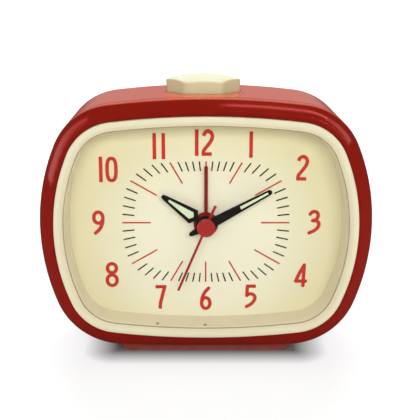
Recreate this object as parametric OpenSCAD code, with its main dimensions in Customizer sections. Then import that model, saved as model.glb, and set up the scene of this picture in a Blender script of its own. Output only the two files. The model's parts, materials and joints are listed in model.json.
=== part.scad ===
// Retro alarm clock: a red case on a low foot, a cream bezel, a dial with four hands,
// a snooze button on top, and a quartz movement with its battery inside.
// Lengths are millimetres. The origin is the centre of the foot's underside, Z points up
// and the dial faces -Y. Most modules work from the dial's centre: y is the depth behind
// the dial's face there, and z the height over the dial's centre.

/* [Case] */
// Width of the case
case_w = 116; // [112.8:0.4:130]
// Height of the case
case_h = 89.4; // [88.4:0.5:100]
// Depth from the dial's face to the back of the case
case_depth = 37; // [36:0.5:46]
// Wall thickness of the case
wall = 2; // [1.6:0.1:2.2]
// Radius of the outline's four corners
corner_r = 23; // [20:0.5:27]
// Radius of the bowed top of the outline
top_bow_r = 280; // [220:5:400]
// Radius of the flatter bow at the bottom of the outline
bottom_bow_r = 1040; // [600:20:1600]
// Radius of the bowed sides of the outline
side_bow_r = 73; // [66:1:100]
// Radius of the edge round the back
back_edge_r = 2.5; // [1:0.1:3]

/* [Front] */
// Width of the red rim, seen from the front
rim_w = 5; // [4.4:0.1:6]
// How far the rim stands out before the dial's face
rim_rise = 9.75; // [9:0.05:12]
// Width of the cream bezel, seen from the front
bezel_w = 3.3; // [2.8:0.1:4]
// Height of the lens's dome
lens_dome = 2.2; // [1:0.1:4]
// Thickness of the dial plate
dial_t = 0.8; // [0.5:0.1:0.9]

/* [Foot] */
// Width of the foot
foot_w = 61; // [54:0.5:70]
// Depth of the foot
foot_d = 32; // [28:0.5:34]
// Height of the foot below the lowest point of the case
foot_h = 4.5; // [4.2:0.1:8]

/* [Snooze button] */
// Width of the button
button_w = 26.5; // [24:0.5:29]
// Depth of the button, front to back
button_d = 18.6; // [17.5:0.1:20]
// Width of the button's flat front
button_flat = 11.6; // [9:0.2:14]
// Height of the button's crown above the case
button_rise = 5.95; // [5.4:0.05:7.3]
// How far the button goes down
button_travel = 2; // [1:0.1:2.2]
// Place of the button, sideways from the middle
button_x = -0.9; // [-2:0.1:2]

/* [Hands] */
// Length of the alarm hand
alarm_hand_l = 20.8; // [16:0.2:22]
// Length of the hour hand
hour_hand_l = 18.7; // [14:0.1:20]
// Length of the minute hand
minute_hand_l = 26; // [21:0.2:28]
// Length of the second hand
second_hand_l = 25.2; // [20:0.2:28]
// Angle of the alarm hand, clockwise from 12
alarm_angle = 0; // [0:1:359]
// Angle of the hour hand, clockwise from 12
hour_angle = 304.6; // [0:0.2:359.8]
// Angle of the minute hand, clockwise from 12
minute_angle = 61; // [0:1:359]
// Angle of the second hand, clockwise from 12
second_angle = 202.8; // [0:0.2:359.8]

/* [Back] */
// Diameter of the time knob
time_knob_d = 14; // [10:0.5:18]
// Diameter of the alarm knob
alarm_knob_d = 12; // [9:0.5:14]
// Height of both knobs
knob_h = 5.6; // [4:0.1:8]
// Travel of the alarm switch
switch_travel = 5; // [3:0.5:6]
// Diameter of the battery
battery_d = 14.2; // [13.4:0.1:14.4]

/* [Hidden] */
$fn = 64;

// Colours
red = [0.52, 0.13, 0.09];
bright_red = [0.72, 0.12, 0.10];
foot_red = [0.42, 0.23, 0.19];
cream = [0.92, 0.89, 0.77];
dial_cream = [0.94, 0.91, 0.78];
black = [0.10, 0.09, 0.09];
lume_green = [0.88, 0.94, 0.80];
clear = [0.85, 0.90, 0.92, 0.35];
steel = [0.72, 0.73, 0.75];
brass = [0.80, 0.66, 0.36];
nylon = [0.93, 0.93, 0.90];
copper = [0.72, 0.42, 0.22];
board_green = [0.16, 0.38, 0.24];

// Place of the dial's centre
face_setback = 1;
face_y = -foot_d / 2 - face_setback;
centre_z = foot_h + case_h / 2;
back_in = case_depth - wall;

// Slide clearances and seats
slip = 0.15;
seat_gap = 0.05;
bearing = 0.06;

// The outline that the front stack follows, and how far the case's own edge flares out from it
flare = [0.4, 0.2];
half_w = case_w / 2 - flare[0];
half_h = case_h / 2 - flare[1];
low_side_bow_r = side_bow_r + 6;
low_corner_r = corner_r + 1.9;

// Front stack, as insets from the outline and depths behind the dial's face
part_y = -1.5;
rim_band = 4.4;
groove = 0.3;
bezel_out = rim_w + slip;
bezel_skirt = 1.2;
lens_opening = rim_w + bezel_w;
lens_edge_y = -rim_rise + 0.55;
lens_t = 1.2;
surround_in = lens_opening + 0.4;
surround_foot = 0.7;
plate_back = dial_t + 2;
tongue_in = wall + slip;
tongue_t = 1.4;
tongue_l = 5;

// Hands, as depths before the dial's face
hand_t = 0.4;
alarm_hand_y = -1.5;
hour_hand_y = -3.0;
minute_hand_y = -4.5;
second_hand_y = -5.8;
cap_r = 3.15;
cap_t = 1.6;
alarm_hub_r = 4.35;
hour_hub_r = 3.4;
minute_hub_r = 2.3;
second_hub_r = 1.6;

// Coaxial tubes on the dial's axis, from the inside out
seconds_r = 0.5;
minute_bore = seconds_r + bearing;
minute_r = 1.1;
hour_bore = minute_r + bearing;
hour_r = 1.8;
alarm_bore = hour_r + bearing;
alarm_r = 2.5;
bush_bore = alarm_r + bearing;
bush_r = 3.3;

// Movement housing
move_x = 27;
move_top = 22.5;
move_bottom = -20.4;
move_wall = 1.2;
move_front_y = 1.0;
plate_t = 1.2;
mid_t = 1.0;
ear_l = 7;
ear_t = 2;
ear_h = 8;
ear_at = [move_x + ear_l / 2, 16];
post_r = 1.6;
post_inset = 3;
pivot_depth = 0.7;

// Wheel layers, as depths behind the dial's face
wheel_t = 1;
layer_gap = 0.4;
lap = 0.1;
alarm_wheel_y = move_front_y + plate_t + layer_gap;
hour_wheel_y = alarm_wheel_y + wheel_t + layer_gap;
motion_wheel_y = hour_wheel_y + wheel_t + layer_gap;
mid_y = motion_wheel_y + wheel_t + layer_gap;
clutch_y = mid_y + mid_t + layer_gap;
third_y = clutch_y + wheel_t + 2 * layer_gap;
seconds_y = third_y + wheel_t + 2 * layer_gap;
intermediate_y = seconds_y + wheel_t + 1.5 * layer_gap;
magnet_y = intermediate_y + wheel_t + layer_gap;

// Tooth counts
seconds_teeth = 36;
small_leaves = 6;
third_teeth = 45;
clutch_teeth = 48;
cannon_leaves = 8;
motion_teeth = 24;
hour_teeth = 24;
alarm_teeth = 42;
alarm_leaves = 12;
intermediate_teeth = 30;

// Modules and centre distances of the meshing pairs
clutch_m = 0.39;
third_gap = clutch_m * (clutch_teeth + small_leaves) / 2;
third_m = 2 * third_gap / (third_teeth + small_leaves);
seconds_m = 0.52;
intermediate_gap = seconds_m * (seconds_teeth + small_leaves) / 2;
rotor_m = 0.45;
rotor_gap = rotor_m * (intermediate_teeth + small_leaves) / 2;
motion_m = 0.6;
motion_gap = motion_m * (motion_teeth + cannon_leaves) / 2;
hour_m = 2 * motion_gap / (hour_teeth + small_leaves);
alarm_m = 0.5;
alarm_gap = alarm_m * (alarm_teeth + alarm_leaves) / 2;

// Places of the arbors, as [x, z] from the dial's centre
third_at = [0, third_gap];
intermediate_at = [0, -intermediate_gap];
rotor_at = [rotor_gap, -intermediate_gap];
motion_at = [-motion_gap, 0];
time_at = [-2 * motion_gap, 0];
alarm_at = [alarm_gap, 0];

// Arbors and shafts
arbor_r = 0.45;
pivot_r = arbor_r + bearing;
motion_post_r = 0.7;
clutch_disc_r = 2.2;
clutch_disc_t = 0.3;
shaft_r = 1.2;
shaft_bore = shaft_r + bearing;
shaft_hole_r = shaft_r + 0.8;

// Back of the case
knob_gap = 0.8;
shaft_end = case_depth + knob_gap + knob_h - 1.2;
switch_at = [-10, 14.5];
switch_neck = [3, 2];
switch_carriage = [8, 5];
switch_carriage_t = 2.1;
switch_cap = [5, 4.4];
rail_t = 1;
buzzer_at = [16, 13.5];
buzzer_r = 8.5;
buzzer_t = 4;
buzzer_hole_r = 2;
sound_slots = 5;
sound_slot = [11, 1.4];
sound_pitch = 2.8;

// Battery bay
bay_z = -29.6;
bay_wall = 1.2;
bay_slack = 0.3;
bay_r = battery_d / 2 + bay_slack;
ledge_t = 1.6;
bay_back = back_in - ledge_t - bay_slack;
battery_y = bay_back - 0.8 - battery_d / 2;
bay_floor = battery_y - bay_r;
bay_lap = 0.8;
rear_y = bay_floor + bay_lap;
battery_l = 48.6;
nub_l = 1.4;
nub_r = 2.7;
battery_x0 = -24.8;
spring_room = 3.2;
contact_t = 0.4;
contact_half = 5.5;
battery_spring_r = [4.6, 2.8];
battery_spring_turns = 3;
bay_x0 = battery_x0 - spring_room - contact_t;
bay_x1 = battery_x0 + battery_l + nub_l + contact_t;

// Battery door, hinged on a bead along its lower edge
door_t = 1.6;
door_sink = 0.3;
door_bead_r = door_t / 2;
door_y0 = case_depth - door_sink - door_t;
door_axis_y = door_y0 + door_bead_r;
door_w = 58;
door_above = 9.4;
door_below = 8.4;
door_top = bay_z + door_above;
door_axis_z = bay_z - door_below;
door_pin_l = 1.8;
door_gap = 0.3;
door_lap = 1.6;
ledge_lap = 2;
hinge_block = 3.4;
hinge_block_half = 2.2;
hinge_room = 1.8;
notch_r = 2.4;
notch_w = 10;
door_x = (bay_x0 + bay_x1) / 2;

// Snooze button
button_y = foot_d / 2 + face_setback + 0.8;
button_edge_r = 1.2;
button_end_r = 3;
button_front_drop = 2.6;
button_side_drop = 1.95;
button_slip = 0.35;
flange_out = 1.6;
flange_t = 1.2;
shell_drop = pow(button_w / 2 + flange_out + abs(button_x), 2) / (2 * top_bow_r);
flange_top = half_h - wall - shell_drop - 0.3;
flange_bottom = flange_top - flange_t;
stem_r = 2;
bracket_base_t = 1.5;
bracket_half = 8;
bracket_front = 9;
bracket_back = 3.8;
bracket_leg = [5.4, 6.8];
plunger_r = 1.5;
snooze_switch_half = 3;
switch_top = move_top + bracket_base_t + 4;
plunger_top = switch_top + 0.4;
stem_end = plunger_top + button_travel + 0.3;
guide_bottom = switch_top + 1;
guide_top = guide_bottom + 6;
guide_r = 3.6;

// Screws
boss_r = 4;
boss_inset = 9;
boss_split = 12;
boss_front = 11.8;
screw_r = 1.25;
screw_head_r = 2.8;
screw_seat = 16;
screw_head_t = 2;
small_screw_r = 1.1;
small_head_r = 2.2;
small_head_t = 1.6;
slot_half = 1.5;
slot_w = 0.6;
slot_depth = 0.8;
foot_boss_r = 3.4;
foot_head_r = 2.4;
foot_skin = 1.2;
foot_screw_x = 18;
foot_screw_seat = -half_h + wall + 1.4;
foot_mid_y = face_setback + foot_d / 2;
screw_tip = 4.5;

// Snooze and battery springs
spring_r = 2.85;
spring_wire_r = 0.25;
spring_turns = 4;
spring_seat = 0.02;

// Foot
foot_edge_r = 1.6;

// Motor and circuit board
magnet_r = 2.6;
magnet_gap = 0.4;
stator_t = 1;
stator_back = 1.8;
stator_y = rear_y - stator_back - stator_t;
stator_corner = [-4.5, -6.2];
stator_plate = [10, 11];
stator_arm = [10, 3];
stator_posts = [rotor_at + [-3, -5], rotor_at + [3.5, 3.6]];
stator_post_r = 1;
coil_r = 2.2;
board_t = 1;
board_back = 1;
board_y = rear_y - board_back - board_t;
board_corner = [3, 5];
board_size = [22, 15.3];
board_posts = [[5.5, 18], [22.5, 7.5]];
board_post_r = 1.2;
crystal_at = [12, 8.5];
crystal_r = 1;
crystal_l = 6.5;
chip_at = [10, 15.5];
chip_r = 2.8;
chip_t = 1.1;

// Gear teeth: [addendum, dedendum, tip, pitch and root half widths as shares of the pitch]
wheel_tooth = [0.75, 1.25, 0.07, 0.18, 0.23];
pinion_tooth = [0.70, 1.20, 0.07, 0.16, 0.20];

// Outlines of four bowed sides with round corners, as points

// Points of an arc about c, without its last point
function arc_points(c, r, t0, t1, n) =
    [for (k = [0:n - 1]) let (t = t0 + (t1 - t0) * k / n) c + r * [cos(t), sin(t)]];

// Centre of the corner arc that touches the top bow and the side bow from inside
function corner_centre(hw, hh, top_r, side_r, r) =
    let (
        top_c = [0, hh - top_r],
        side_c = [hw - side_r, 0],
        across = side_c - top_c,
        d = norm(across),
        u = across / d,
        along = (pow(top_r - r, 2) - pow(side_r - r, 2) + d * d) / (2 * d),
        off = sqrt(pow(top_r - r, 2) - along * along)
    )
    top_c + along * u + off * [u[1], -u[0]];

// The quarter of the outline from its top to its right
function quarter(hw, hh, top_r, side_r, r, inset) =
    let (
        c = corner_centre(hw, hh, top_r, side_r, r),
        t1 = atan2(c[1] - hh + top_r, c[0]),
        t2 = atan2(c[1], c[0] - hw + side_r)
    )
    concat(
        arc_points([0, hh - top_r], top_r - inset, 90, t1, 3),
        arc_points(c, r - inset, t1, t2, 8),
        arc_points([hw - side_r, 0], side_r - inset, t2, 0, 5),
        [[hw - inset, 0]]
    );

// The whole outline, clockwise from its top, from an upper quarter and a lower one of equal length
function mirrored(q, low) =
    let (n = len(q) - 1)
    concat(
        [for (k = [0:n - 1]) q[k]],
        [for (k = [n:-1:1]) [low[k][0], -low[k][1]]],
        [for (k = [0:n - 1]) [-low[k][0], -low[k][1]]],
        [for (k = [n:-1:1]) [-q[k][0], q[k][1]]]
    );

// A quarter of the front stack's outline, moved in by an inset
function plain_quarter(inset) = quarter(half_w, half_h, top_bow_r, side_bow_r, corner_r, inset);

// The same quarter, led out over the rim's width to the case's own edge
function case_quarter(inset, bow, side_r, r) =
    let (
        share = max(0, 1 - inset / rim_w),
        edge = quarter(half_w + flare[0], half_h + flare[1], bow, side_r, r, 0),
        start = plain_quarter(0),
        q = plain_quarter(inset)
    )
    [for (k = [0:len(q) - 1]) q[k] + share * (edge[k] - start[k])];

// The case's outline, moved in by an inset
function outline(inset) =
    mirrored(case_quarter(inset, top_bow_r, side_bow_r, corner_r),
        case_quarter(inset, bottom_bow_r, low_side_bow_r, low_corner_r));

// A ring of the case's outline at a depth, as [x, y, z] points
function ring(inset, y, share = 1) = [for (p = outline(inset)) [p[0] * share, y, p[1] * share]];

// The quarter of the button's six-sided outline, from the middle of its flat back to its end:
// a straight side that touches an edge arc and an end arc
function button_quarter() =
    let (
        edge_c = [button_flat / 2, button_d / 2 - button_edge_r],
        end_c = [button_w / 2 - button_end_r, 0],
        across = end_c - edge_c,
        t = atan2(across[1], across[0]) + acos((button_edge_r - button_end_r) / norm(across))
    )
    concat([[0, button_d / 2]], arc_points(edge_c, button_edge_r, 90, t, 4),
        arc_points(end_c, button_end_r, t, 0, 5), [[button_w / 2, 0]]);

// The button's outline, moved in by an inset
function button_outline(inset) =
    let (sx = 1 - 2 * inset / button_w, sy = 1 - 2 * inset / button_d)
    [for (p = mirrored(button_quarter(), button_quarter())) [p[0] * sx, p[1] * sy]];

// Radius of an arc that falls by a drop at half its span
function bow_r(span, drop) = (pow(span / 2, 2) + pow(drop, 2)) / (2 * drop);

// Skin over rings of equal length: a closed chain, or a chain with a face at each end
module skin(rings, closed = false) {
    n = len(rings);
    m = len(rings[0]);
    last = closed ? n - 1 : n - 2;
    sides = [for (j = [0:last]) for (k = [0:m - 1])
        let (a = j * m, b = ((j + 1) % n) * m, k2 = (k + 1) % m)
        [a + k, a + k2, b + k2, b + k]];
    ends = closed ? [] : [[for (k = [m - 1:-1:0]) k], [for (k = [0:m - 1]) (n - 1) * m + k]];
    polyhedron(points = [for (r = rings) each r], faces = concat(sides, ends));
}

// Coil spring along z: one tube of round wire
module coil_spring(r0, r1, h, turns, wire_r) {
    steps = 8 * turns;
    sides = 6;
    points = [for (i = [0:steps]) let (t = 360 * i / 8, s = i / steps, r = r0 + (r1 - r0) * s)
        for (k = [0:sides - 1]) let (a = 360 * k / sides, q = r + wire_r * cos(a))
        [q * cos(t), q * sin(t), wire_r + (h - 2 * wire_r) * s + wire_r * sin(a)]];
    walls = [for (i = [0:steps - 1]) for (k = [0:sides - 1]) let (k2 = (k + 1) % sides)
        [i * sides + k, i * sides + k2, (i + 1) * sides + k2, (i + 1) * sides + k]];
    caps = [[for (k = [sides - 1:-1:0]) k], [for (k = [0:sides - 1]) steps * sides + k]];
    polyhedron(points = points, faces = concat(walls, caps));
}

// Placing helpers

// From the dial's centre
module at_face() { translate([0, face_y, centre_z]) children(); }

// From an arbor's place
module at(p) { translate([p[0], 0, p[1]]) children(); }

// A round rod along y
module rod_y(r, y0, y1) { translate([0, y1, 0]) rotate([90, 0, 0]) cylinder(r = r, h = y1 - y0); }

// A flat shape in x and z, as thick as y0 to y1
module slab_y(y0, y1) { translate([0, y1, 0]) rotate([90, 0, 0]) linear_extrude(y1 - y0) children(); }

// A block between limits
module block(x0, x1, y0, y1, z0, z1) { translate([x0, y0, z0]) cube([x1 - x0, y1 - y0, z1 - z0]); }

// Both sides of the middle
module both_sides() { children(); mirror([1, 0, 0]) children(); }

// The four corners about the dial's centre
module four_corners() { both_sides() { children(); mirror([0, 0, 1]) children(); } }

// A toothed disc: a tooth points to the angle phase
module toothed(n, m, phase, tooth) {
    r = m * n / 2;
    pitch = 360 / n;
    sides = [[r - tooth[1] * m, -tooth[4]], [r, -tooth[3]], [r + tooth[0] * m, -tooth[2]],
        [r + tooth[0] * m, tooth[2]], [r, tooth[3]], [r - tooth[1] * m, tooth[4]]];
    polygon([for (k = [0:n - 1]) for (s = sides) let (t = phase + pitch * (k + s[1]))
        s[0] * [cos(t), sin(t)]]);
}

module wheel(n, m, phase, y) { slab_y(y, y + wheel_t) toothed(n, m, phase, wheel_tooth); }

module pinion(n, m, phase, y0, y1) { slab_y(y0, y1) toothed(n, m, phase, pinion_tooth); }

// Place of a corner boss, as [x, z]
function boss_at() =
    let (c = corner_centre(half_w, half_h, top_bow_r, side_bow_r, corner_r))
    c + (corner_r - boss_inset) * [cos(45), sin(45)];

// Case

module front_frame() {
    slope = rim_rise - rim_band;
    color(red) at_face() difference() {
        union() {
            skin([ring(groove, part_y), ring(0, part_y - groove), ring(0, -rim_band),
                ring(0.06 * rim_w, -rim_band - 0.15 * slope),
                ring(0.18 * rim_w, -rim_band - 0.29 * slope),
                ring(0.44 * rim_w, -rim_band - 0.57 * slope),
                ring(0.70 * rim_w, -rim_band - 0.82 * slope),
                ring(0.86 * rim_w, -rim_band - 0.945 * slope),
                ring(0.95 * rim_w, -rim_rise), ring(rim_w, 0.2 - rim_rise),
                ring(rim_w, plate_back), ring(tongue_in + tongue_t, plate_back),
                ring(tongue_in + tongue_t, tongue_l), ring(tongue_in, tongue_l),
                ring(tongue_in, part_y)], closed = true);
            slab_y(dial_t, plate_back) polygon(outline(rim_w - 0.6));
            four_corners() at(boss_at()) rod_y(boss_r, dial_t + 0.5, boss_front);
        }
        block(-move_x - 0.5, move_x + 0.5, 0, plate_back + 1, move_bottom - 0.5, move_top + 0.5);
        four_corners() at(boss_at()) rod_y(screw_r, screw_tip, boss_front + 1);
        four_corners() at(ear_at) rod_y(small_screw_r, dial_t + 0.4, plate_back + 1);
    }
}

module rear_shell() {
    edge = [for (t = [90:-30:0])
        ring(back_edge_r * (1 - cos(t)), case_depth - back_edge_r * (1 - sin(t)))];
    color(red) at_face() difference() {
        union() {
            skin(concat(edge, [ring(0, part_y + groove), ring(groove, part_y),
                ring(wall, part_y), ring(wall, back_in)]));
            four_corners() at(boss_at()) rod_y(boss_r, boss_split, back_in + 0.5);
            both_sides() translate([foot_screw_x, foot_mid_y, -half_h + 1.2])
                cylinder(r = foot_boss_r, h = foot_screw_seat + half_h - 1.2);
            door_ledge();
        }
        door_opening();
        at(time_at) rod_y(shaft_hole_r, back_in - 1, case_depth + 1);
        at(alarm_at) rod_y(shaft_hole_r, back_in - 1, case_depth + 1);
        switch_slot();
        sound_openings();
        four_corners() at(boss_at()) {
            rod_y(screw_r + 0.35, boss_split - 1, case_depth + 1);
            rod_y(screw_head_r + 0.4, screw_seat, case_depth + 1);
        }
        translate([button_x, button_y, half_h - wall - 3]) linear_extrude(wall + 6)
            polygon(button_outline(-button_slip));
        both_sides() translate([foot_screw_x, foot_mid_y, -half_h - 2])
            cylinder(r = screw_r + 0.2, h = wall + 8);
    }
}

// Seat and hinge blocks for the battery door, behind the back wall
module door_ledge() {
    x0 = door_x - door_w / 2;
    x1 = door_x + door_w / 2;
    y0 = back_in - ledge_t;
    y1 = back_in + 0.2;
    block(x0 - ledge_lap, x1 + ledge_lap, y0, y1, door_axis_z - ledge_lap, door_top + ledge_lap);
    for (x = [x0 - hinge_block, x1 + lap])
        block(x, x + hinge_block - lap, y0, y1, door_axis_z - hinge_block_half,
            door_axis_z + hinge_block_half);
}

// The space that the battery door and its pins fill
module door_opening() {
    x0 = door_x - door_w / 2;
    x1 = door_x + door_w / 2;
    block(x0 - door_gap, x1 + door_gap, door_y0 - seat_gap, case_depth + 1,
        door_axis_z - door_bead_r - door_gap, door_top + door_gap);
    block(x0 + door_lap, x1 - door_lap, back_in - ledge_t - 1, case_depth,
        door_axis_z + hinge_room, door_top - door_lap);
    translate([x0 - door_pin_l - door_gap, door_axis_y, door_axis_z]) rotate([0, 90, 0])
        cylinder(r = door_bead_r + bearing, h = door_w + 2 * (door_pin_l + door_gap));
    translate([door_x - notch_w / 2, case_depth + 1, door_top + 1]) rotate([0, 90, 0])
        cylinder(r = notch_r, h = notch_w);
}

module switch_slot() {
    x0 = switch_at[0] - switch_neck[0] / 2 - 0.3;
    block(x0, x0 + switch_neck[0] + switch_travel + 0.6, back_in - 1, case_depth + 1,
        switch_at[1] - switch_neck[1] / 2 - 0.3, switch_at[1] + switch_neck[1] / 2 + 0.3);
}

module sound_openings() {
    for (k = [0:sound_slots - 1]) {
        z = buzzer_at[1] + (k - (sound_slots - 1) / 2) * sound_pitch;
        block(buzzer_at[0] - sound_slot[0] / 2, buzzer_at[0] + sound_slot[0] / 2,
            back_in - 1, case_depth + 1, z - sound_slot[1] / 2, z + sound_slot[1] / 2);
    }
}

module bezel_ring() {
    w = lens_opening - bezel_out;
    color(cream) at_face()
        skin([ring(bezel_out, -seat_gap), ring(bezel_out, -rim_rise - 0.35),
            ring(bezel_out + 0.10 * w, -rim_rise - 0.75), ring(bezel_out + 0.28 * w, -rim_rise - 1.02),
            ring(bezel_out + 0.50 * w, -rim_rise - 1.05), ring(bezel_out + 0.75 * w, -rim_rise - 0.7),
            ring(bezel_out + 0.93 * w, -rim_rise - 0.2), ring(lens_opening, lens_edge_y - 0.3),
            ring(lens_opening, lens_edge_y - 0.1), ring(bezel_out + bezel_skirt, lens_edge_y - 0.1),
            ring(bezel_out + bezel_skirt, -seat_gap)], closed = true);
}

module lens() {
    shares = [0.08, 0.3, 0.5, 0.7, 0.85, 1];
    last = len(shares) - 1;
    back_y = lens_edge_y + lens_t;
    front_y = lens_edge_y - 0.4;
    edge = lens_opening + slip;
    flange = bezel_out + bezel_skirt + slip;
    color(clear) at_face()
        skin(concat(
            [for (s = shares) ring(edge + 0.45, back_y - (lens_dome + 0.4) * (1 - s * s), s)],
            [ring(flange, back_y), ring(flange, lens_edge_y), ring(edge, lens_edge_y)],
            [for (k = [last:-1:0]) let (s = shares[k])
                ring(edge, front_y - lens_dome * (1 - s * s), s)]));
}

module dial_surround() {
    outer = bezel_out + bezel_skirt + slip;
    top_y = lens_edge_y + lens_t + 0.1;
    color(cream) at_face()
        skin([ring(outer, -seat_gap), ring(outer, top_y), ring(surround_in, top_y),
            ring(surround_in + surround_foot, -seat_gap)], closed = true);
}

module dial() {
    color(dial_cream) at_face() difference() {
        slab_y(0, dial_t) polygon(outline(rim_w + 0.3));
        rod_y(bush_r + 0.2, -1, dial_t + 1);
    }
}

module foot() {
    bottom = -centre_z;
    color(foot_red) at_face() difference() {
        slab_y(face_setback, face_setback + foot_d) difference() {
            union() {
                translate([-foot_w / 2 + foot_edge_r, bottom])
                    square([foot_w - 2 * foot_edge_r, foot_h + 5]);
                translate([-foot_w / 2, bottom + foot_edge_r]) square([foot_w, foot_h + 5 - foot_edge_r]);
                for (s = [-1, 1]) translate([s * (foot_w / 2 - foot_edge_r), bottom + foot_edge_r])
                    circle(r = foot_edge_r);
            }
            polygon(concat([[foot_w, 0], [-foot_w, 0]], [for (k = [-8:8]) let (x = k * foot_w / 14)
                [x, bottom_bow_r - case_h / 2 - sqrt(pow(bottom_bow_r + seat_gap, 2) - x * x)]]));
        }
        both_sides() translate([foot_screw_x, foot_mid_y, bottom + foot_skin])
            cylinder(r = screw_r, h = foot_h + 6);
    }
}

// Hands, each drawn pointing to 12 and turned to its angle

// A flat shape as thick as a hand
module hand_plate(y, angle) { slab_y(y, y + hand_t) rotate(-angle) children(); }

// A hand's blade with its round hub, bored for its tube
module hand(y, angle, hub_r, bore_r) {
    difference() {
        union() {
            rod_y(hub_r, y, y + hand_t);
            hand_plate(y, angle) children();
        }
        rod_y(bore_r, y - 1, y + hand_t + 1);
    }
}

module alarm_hand() {
    color(bright_red) at_face() hand(alarm_hand_y, alarm_angle, alarm_hub_r, alarm_r)
        polygon([[-0.62, alarm_r + 0.5], [-0.62, alarm_hand_l - 0.2], [-0.4, alarm_hand_l],
            [0.4, alarm_hand_l], [0.62, alarm_hand_l - 0.2], [0.62, alarm_r + 0.5]]);
}

module hour_lume_shape() {
    polygon([[-0.35, 5.4], [-1.4, 6.3], [-0.33, hour_hand_l - 2.9], [0.33, hour_hand_l - 2.9],
        [1.4, 6.3], [0.35, 5.4]]);
}

module hour_hand() {
    color(black) at_face() hand(hour_hand_y, hour_angle, hour_hub_r, hour_r) difference() {
        polygon([[-1, hour_r + 0.4], [-1, 4.1], [-2.75, 5.25], [-2.8, 5.4],
            [-0.88, hour_hand_l - 0.9], [-0.6, hour_hand_l - 0.2], [-0.2, hour_hand_l],
            [0.2, hour_hand_l], [0.6, hour_hand_l - 0.2], [0.88, hour_hand_l - 0.9],
            [2.8, 5.4], [2.75, 5.25], [1, 4.1], [1, hour_r + 0.4]]);
        hour_lume_shape();
    }
}

module hour_lume() { color(lume_green) at_face() hand_plate(hour_hand_y, hour_angle) hour_lume_shape(); }

module minute_lume_shape() {
    polygon([[-0.55, 13.7], [-0.33, minute_hand_l - 1.5], [0.33, minute_hand_l - 1.5], [0.55, 13.7]]);
}

module minute_hand() {
    color(black) at_face() hand(minute_hand_y, minute_angle, minute_hub_r, minute_r) difference() {
        polygon([[-0.35, -6.6], [-0.7, -6.2], [-1.85, 0], [-1.4, 12.6], [-0.92, minute_hand_l - 0.8],
            [-0.62, minute_hand_l - 0.2], [-0.22, minute_hand_l], [0.22, minute_hand_l],
            [0.62, minute_hand_l - 0.2], [0.92, minute_hand_l - 0.8], [1.4, 12.6], [1.85, 0],
            [0.7, -6.2], [0.35, -6.6]]);
        minute_lume_shape();
    }
}

module minute_lume() {
    color(lume_green) at_face() hand_plate(minute_hand_y, minute_angle) minute_lume_shape();
}

module second_hand() {
    color(bright_red) at_face() hand(second_hand_y, second_angle, second_hub_r, seconds_r)
        polygon([[-0.45, -8.4], [-0.4, second_hand_l], [0.4, second_hand_l], [0.45, -8.4]]);
}

module second_cap() {
    color(bright_red) at_face() translate([0, second_hand_y, 0]) rotate([90, 0, 0])
        rotate_extrude() polygon([[0, 0], [cap_r, 0], [cap_r, cap_t - 0.5], [cap_r - 0.15, cap_t - 0.15],
            [cap_r - 0.5, cap_t], [0, cap_t]]);
}

// Snooze button and what it works on

// The crown is the outer curve of a ring: bowed by long_r from end to end, by short_r front to back
module snooze_button() {
    top = case_h / 2 + button_rise;
    long_r = bow_r(button_w, button_side_drop);
    short_r = bow_r(button_d, button_front_drop);
    color(cream) at_face() translate([button_x, button_y, 0]) {
        translate([0, 0, flange_bottom]) linear_extrude(flange_t) polygon(button_outline(-flange_out));
        intersection() {
            translate([0, 0, flange_bottom]) linear_extrude(top - flange_bottom)
                polygon(button_outline(0));
            translate([0, 0, top - long_r]) rotate([90, 0, 0]) rotate_extrude()
                translate([long_r - short_r, 0]) circle(r = short_r);
        }
        translate([0, 0, stem_end]) cylinder(r = stem_r, h = flange_bottom + 0.5 - stem_end);
    }
}

module snooze_spring() {
    h = flange_bottom - guide_top - 2 * spring_seat;
    echo("least gap between the snooze spring's curls",
        (h - 2 * spring_wire_r) / spring_turns - 2 * spring_wire_r);
    color(steel) at_face() translate([button_x, button_y, guide_top + spring_seat])
        coil_spring(spring_r, spring_r, h, spring_turns, spring_wire_r);
}

module snooze_bracket() {
    base_top = move_top + bracket_base_t;
    color(nylon) at_face() translate([button_x, button_y, 0]) difference() {
        union() {
            block(-bracket_half, bracket_half, -bracket_front, bracket_back, move_top, base_top);
            both_sides() block(bracket_leg[0], bracket_leg[1], -bracket_back, bracket_back,
                base_top - lap, guide_bottom + lap);
            block(-bracket_leg[1], bracket_leg[1], -bracket_back, bracket_back,
                guide_bottom, guide_bottom + bracket_base_t);
            translate([0, 0, guide_bottom]) cylinder(r = guide_r, h = guide_top - guide_bottom);
        }
        translate([0, 0, guide_bottom - 1]) cylinder(r = stem_r + bearing, h = guide_top - guide_bottom + 2);
    }
}

module snooze_switch() {
    color(black) at_face() translate([button_x, button_y, 0]) {
        block(-snooze_switch_half, snooze_switch_half, -snooze_switch_half, snooze_switch_half,
            move_top + bracket_base_t, switch_top);
        translate([0, 0, switch_top - lap]) cylinder(r = plunger_r, h = plunger_top - switch_top + lap);
    }
}

// Movement housing

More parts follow.
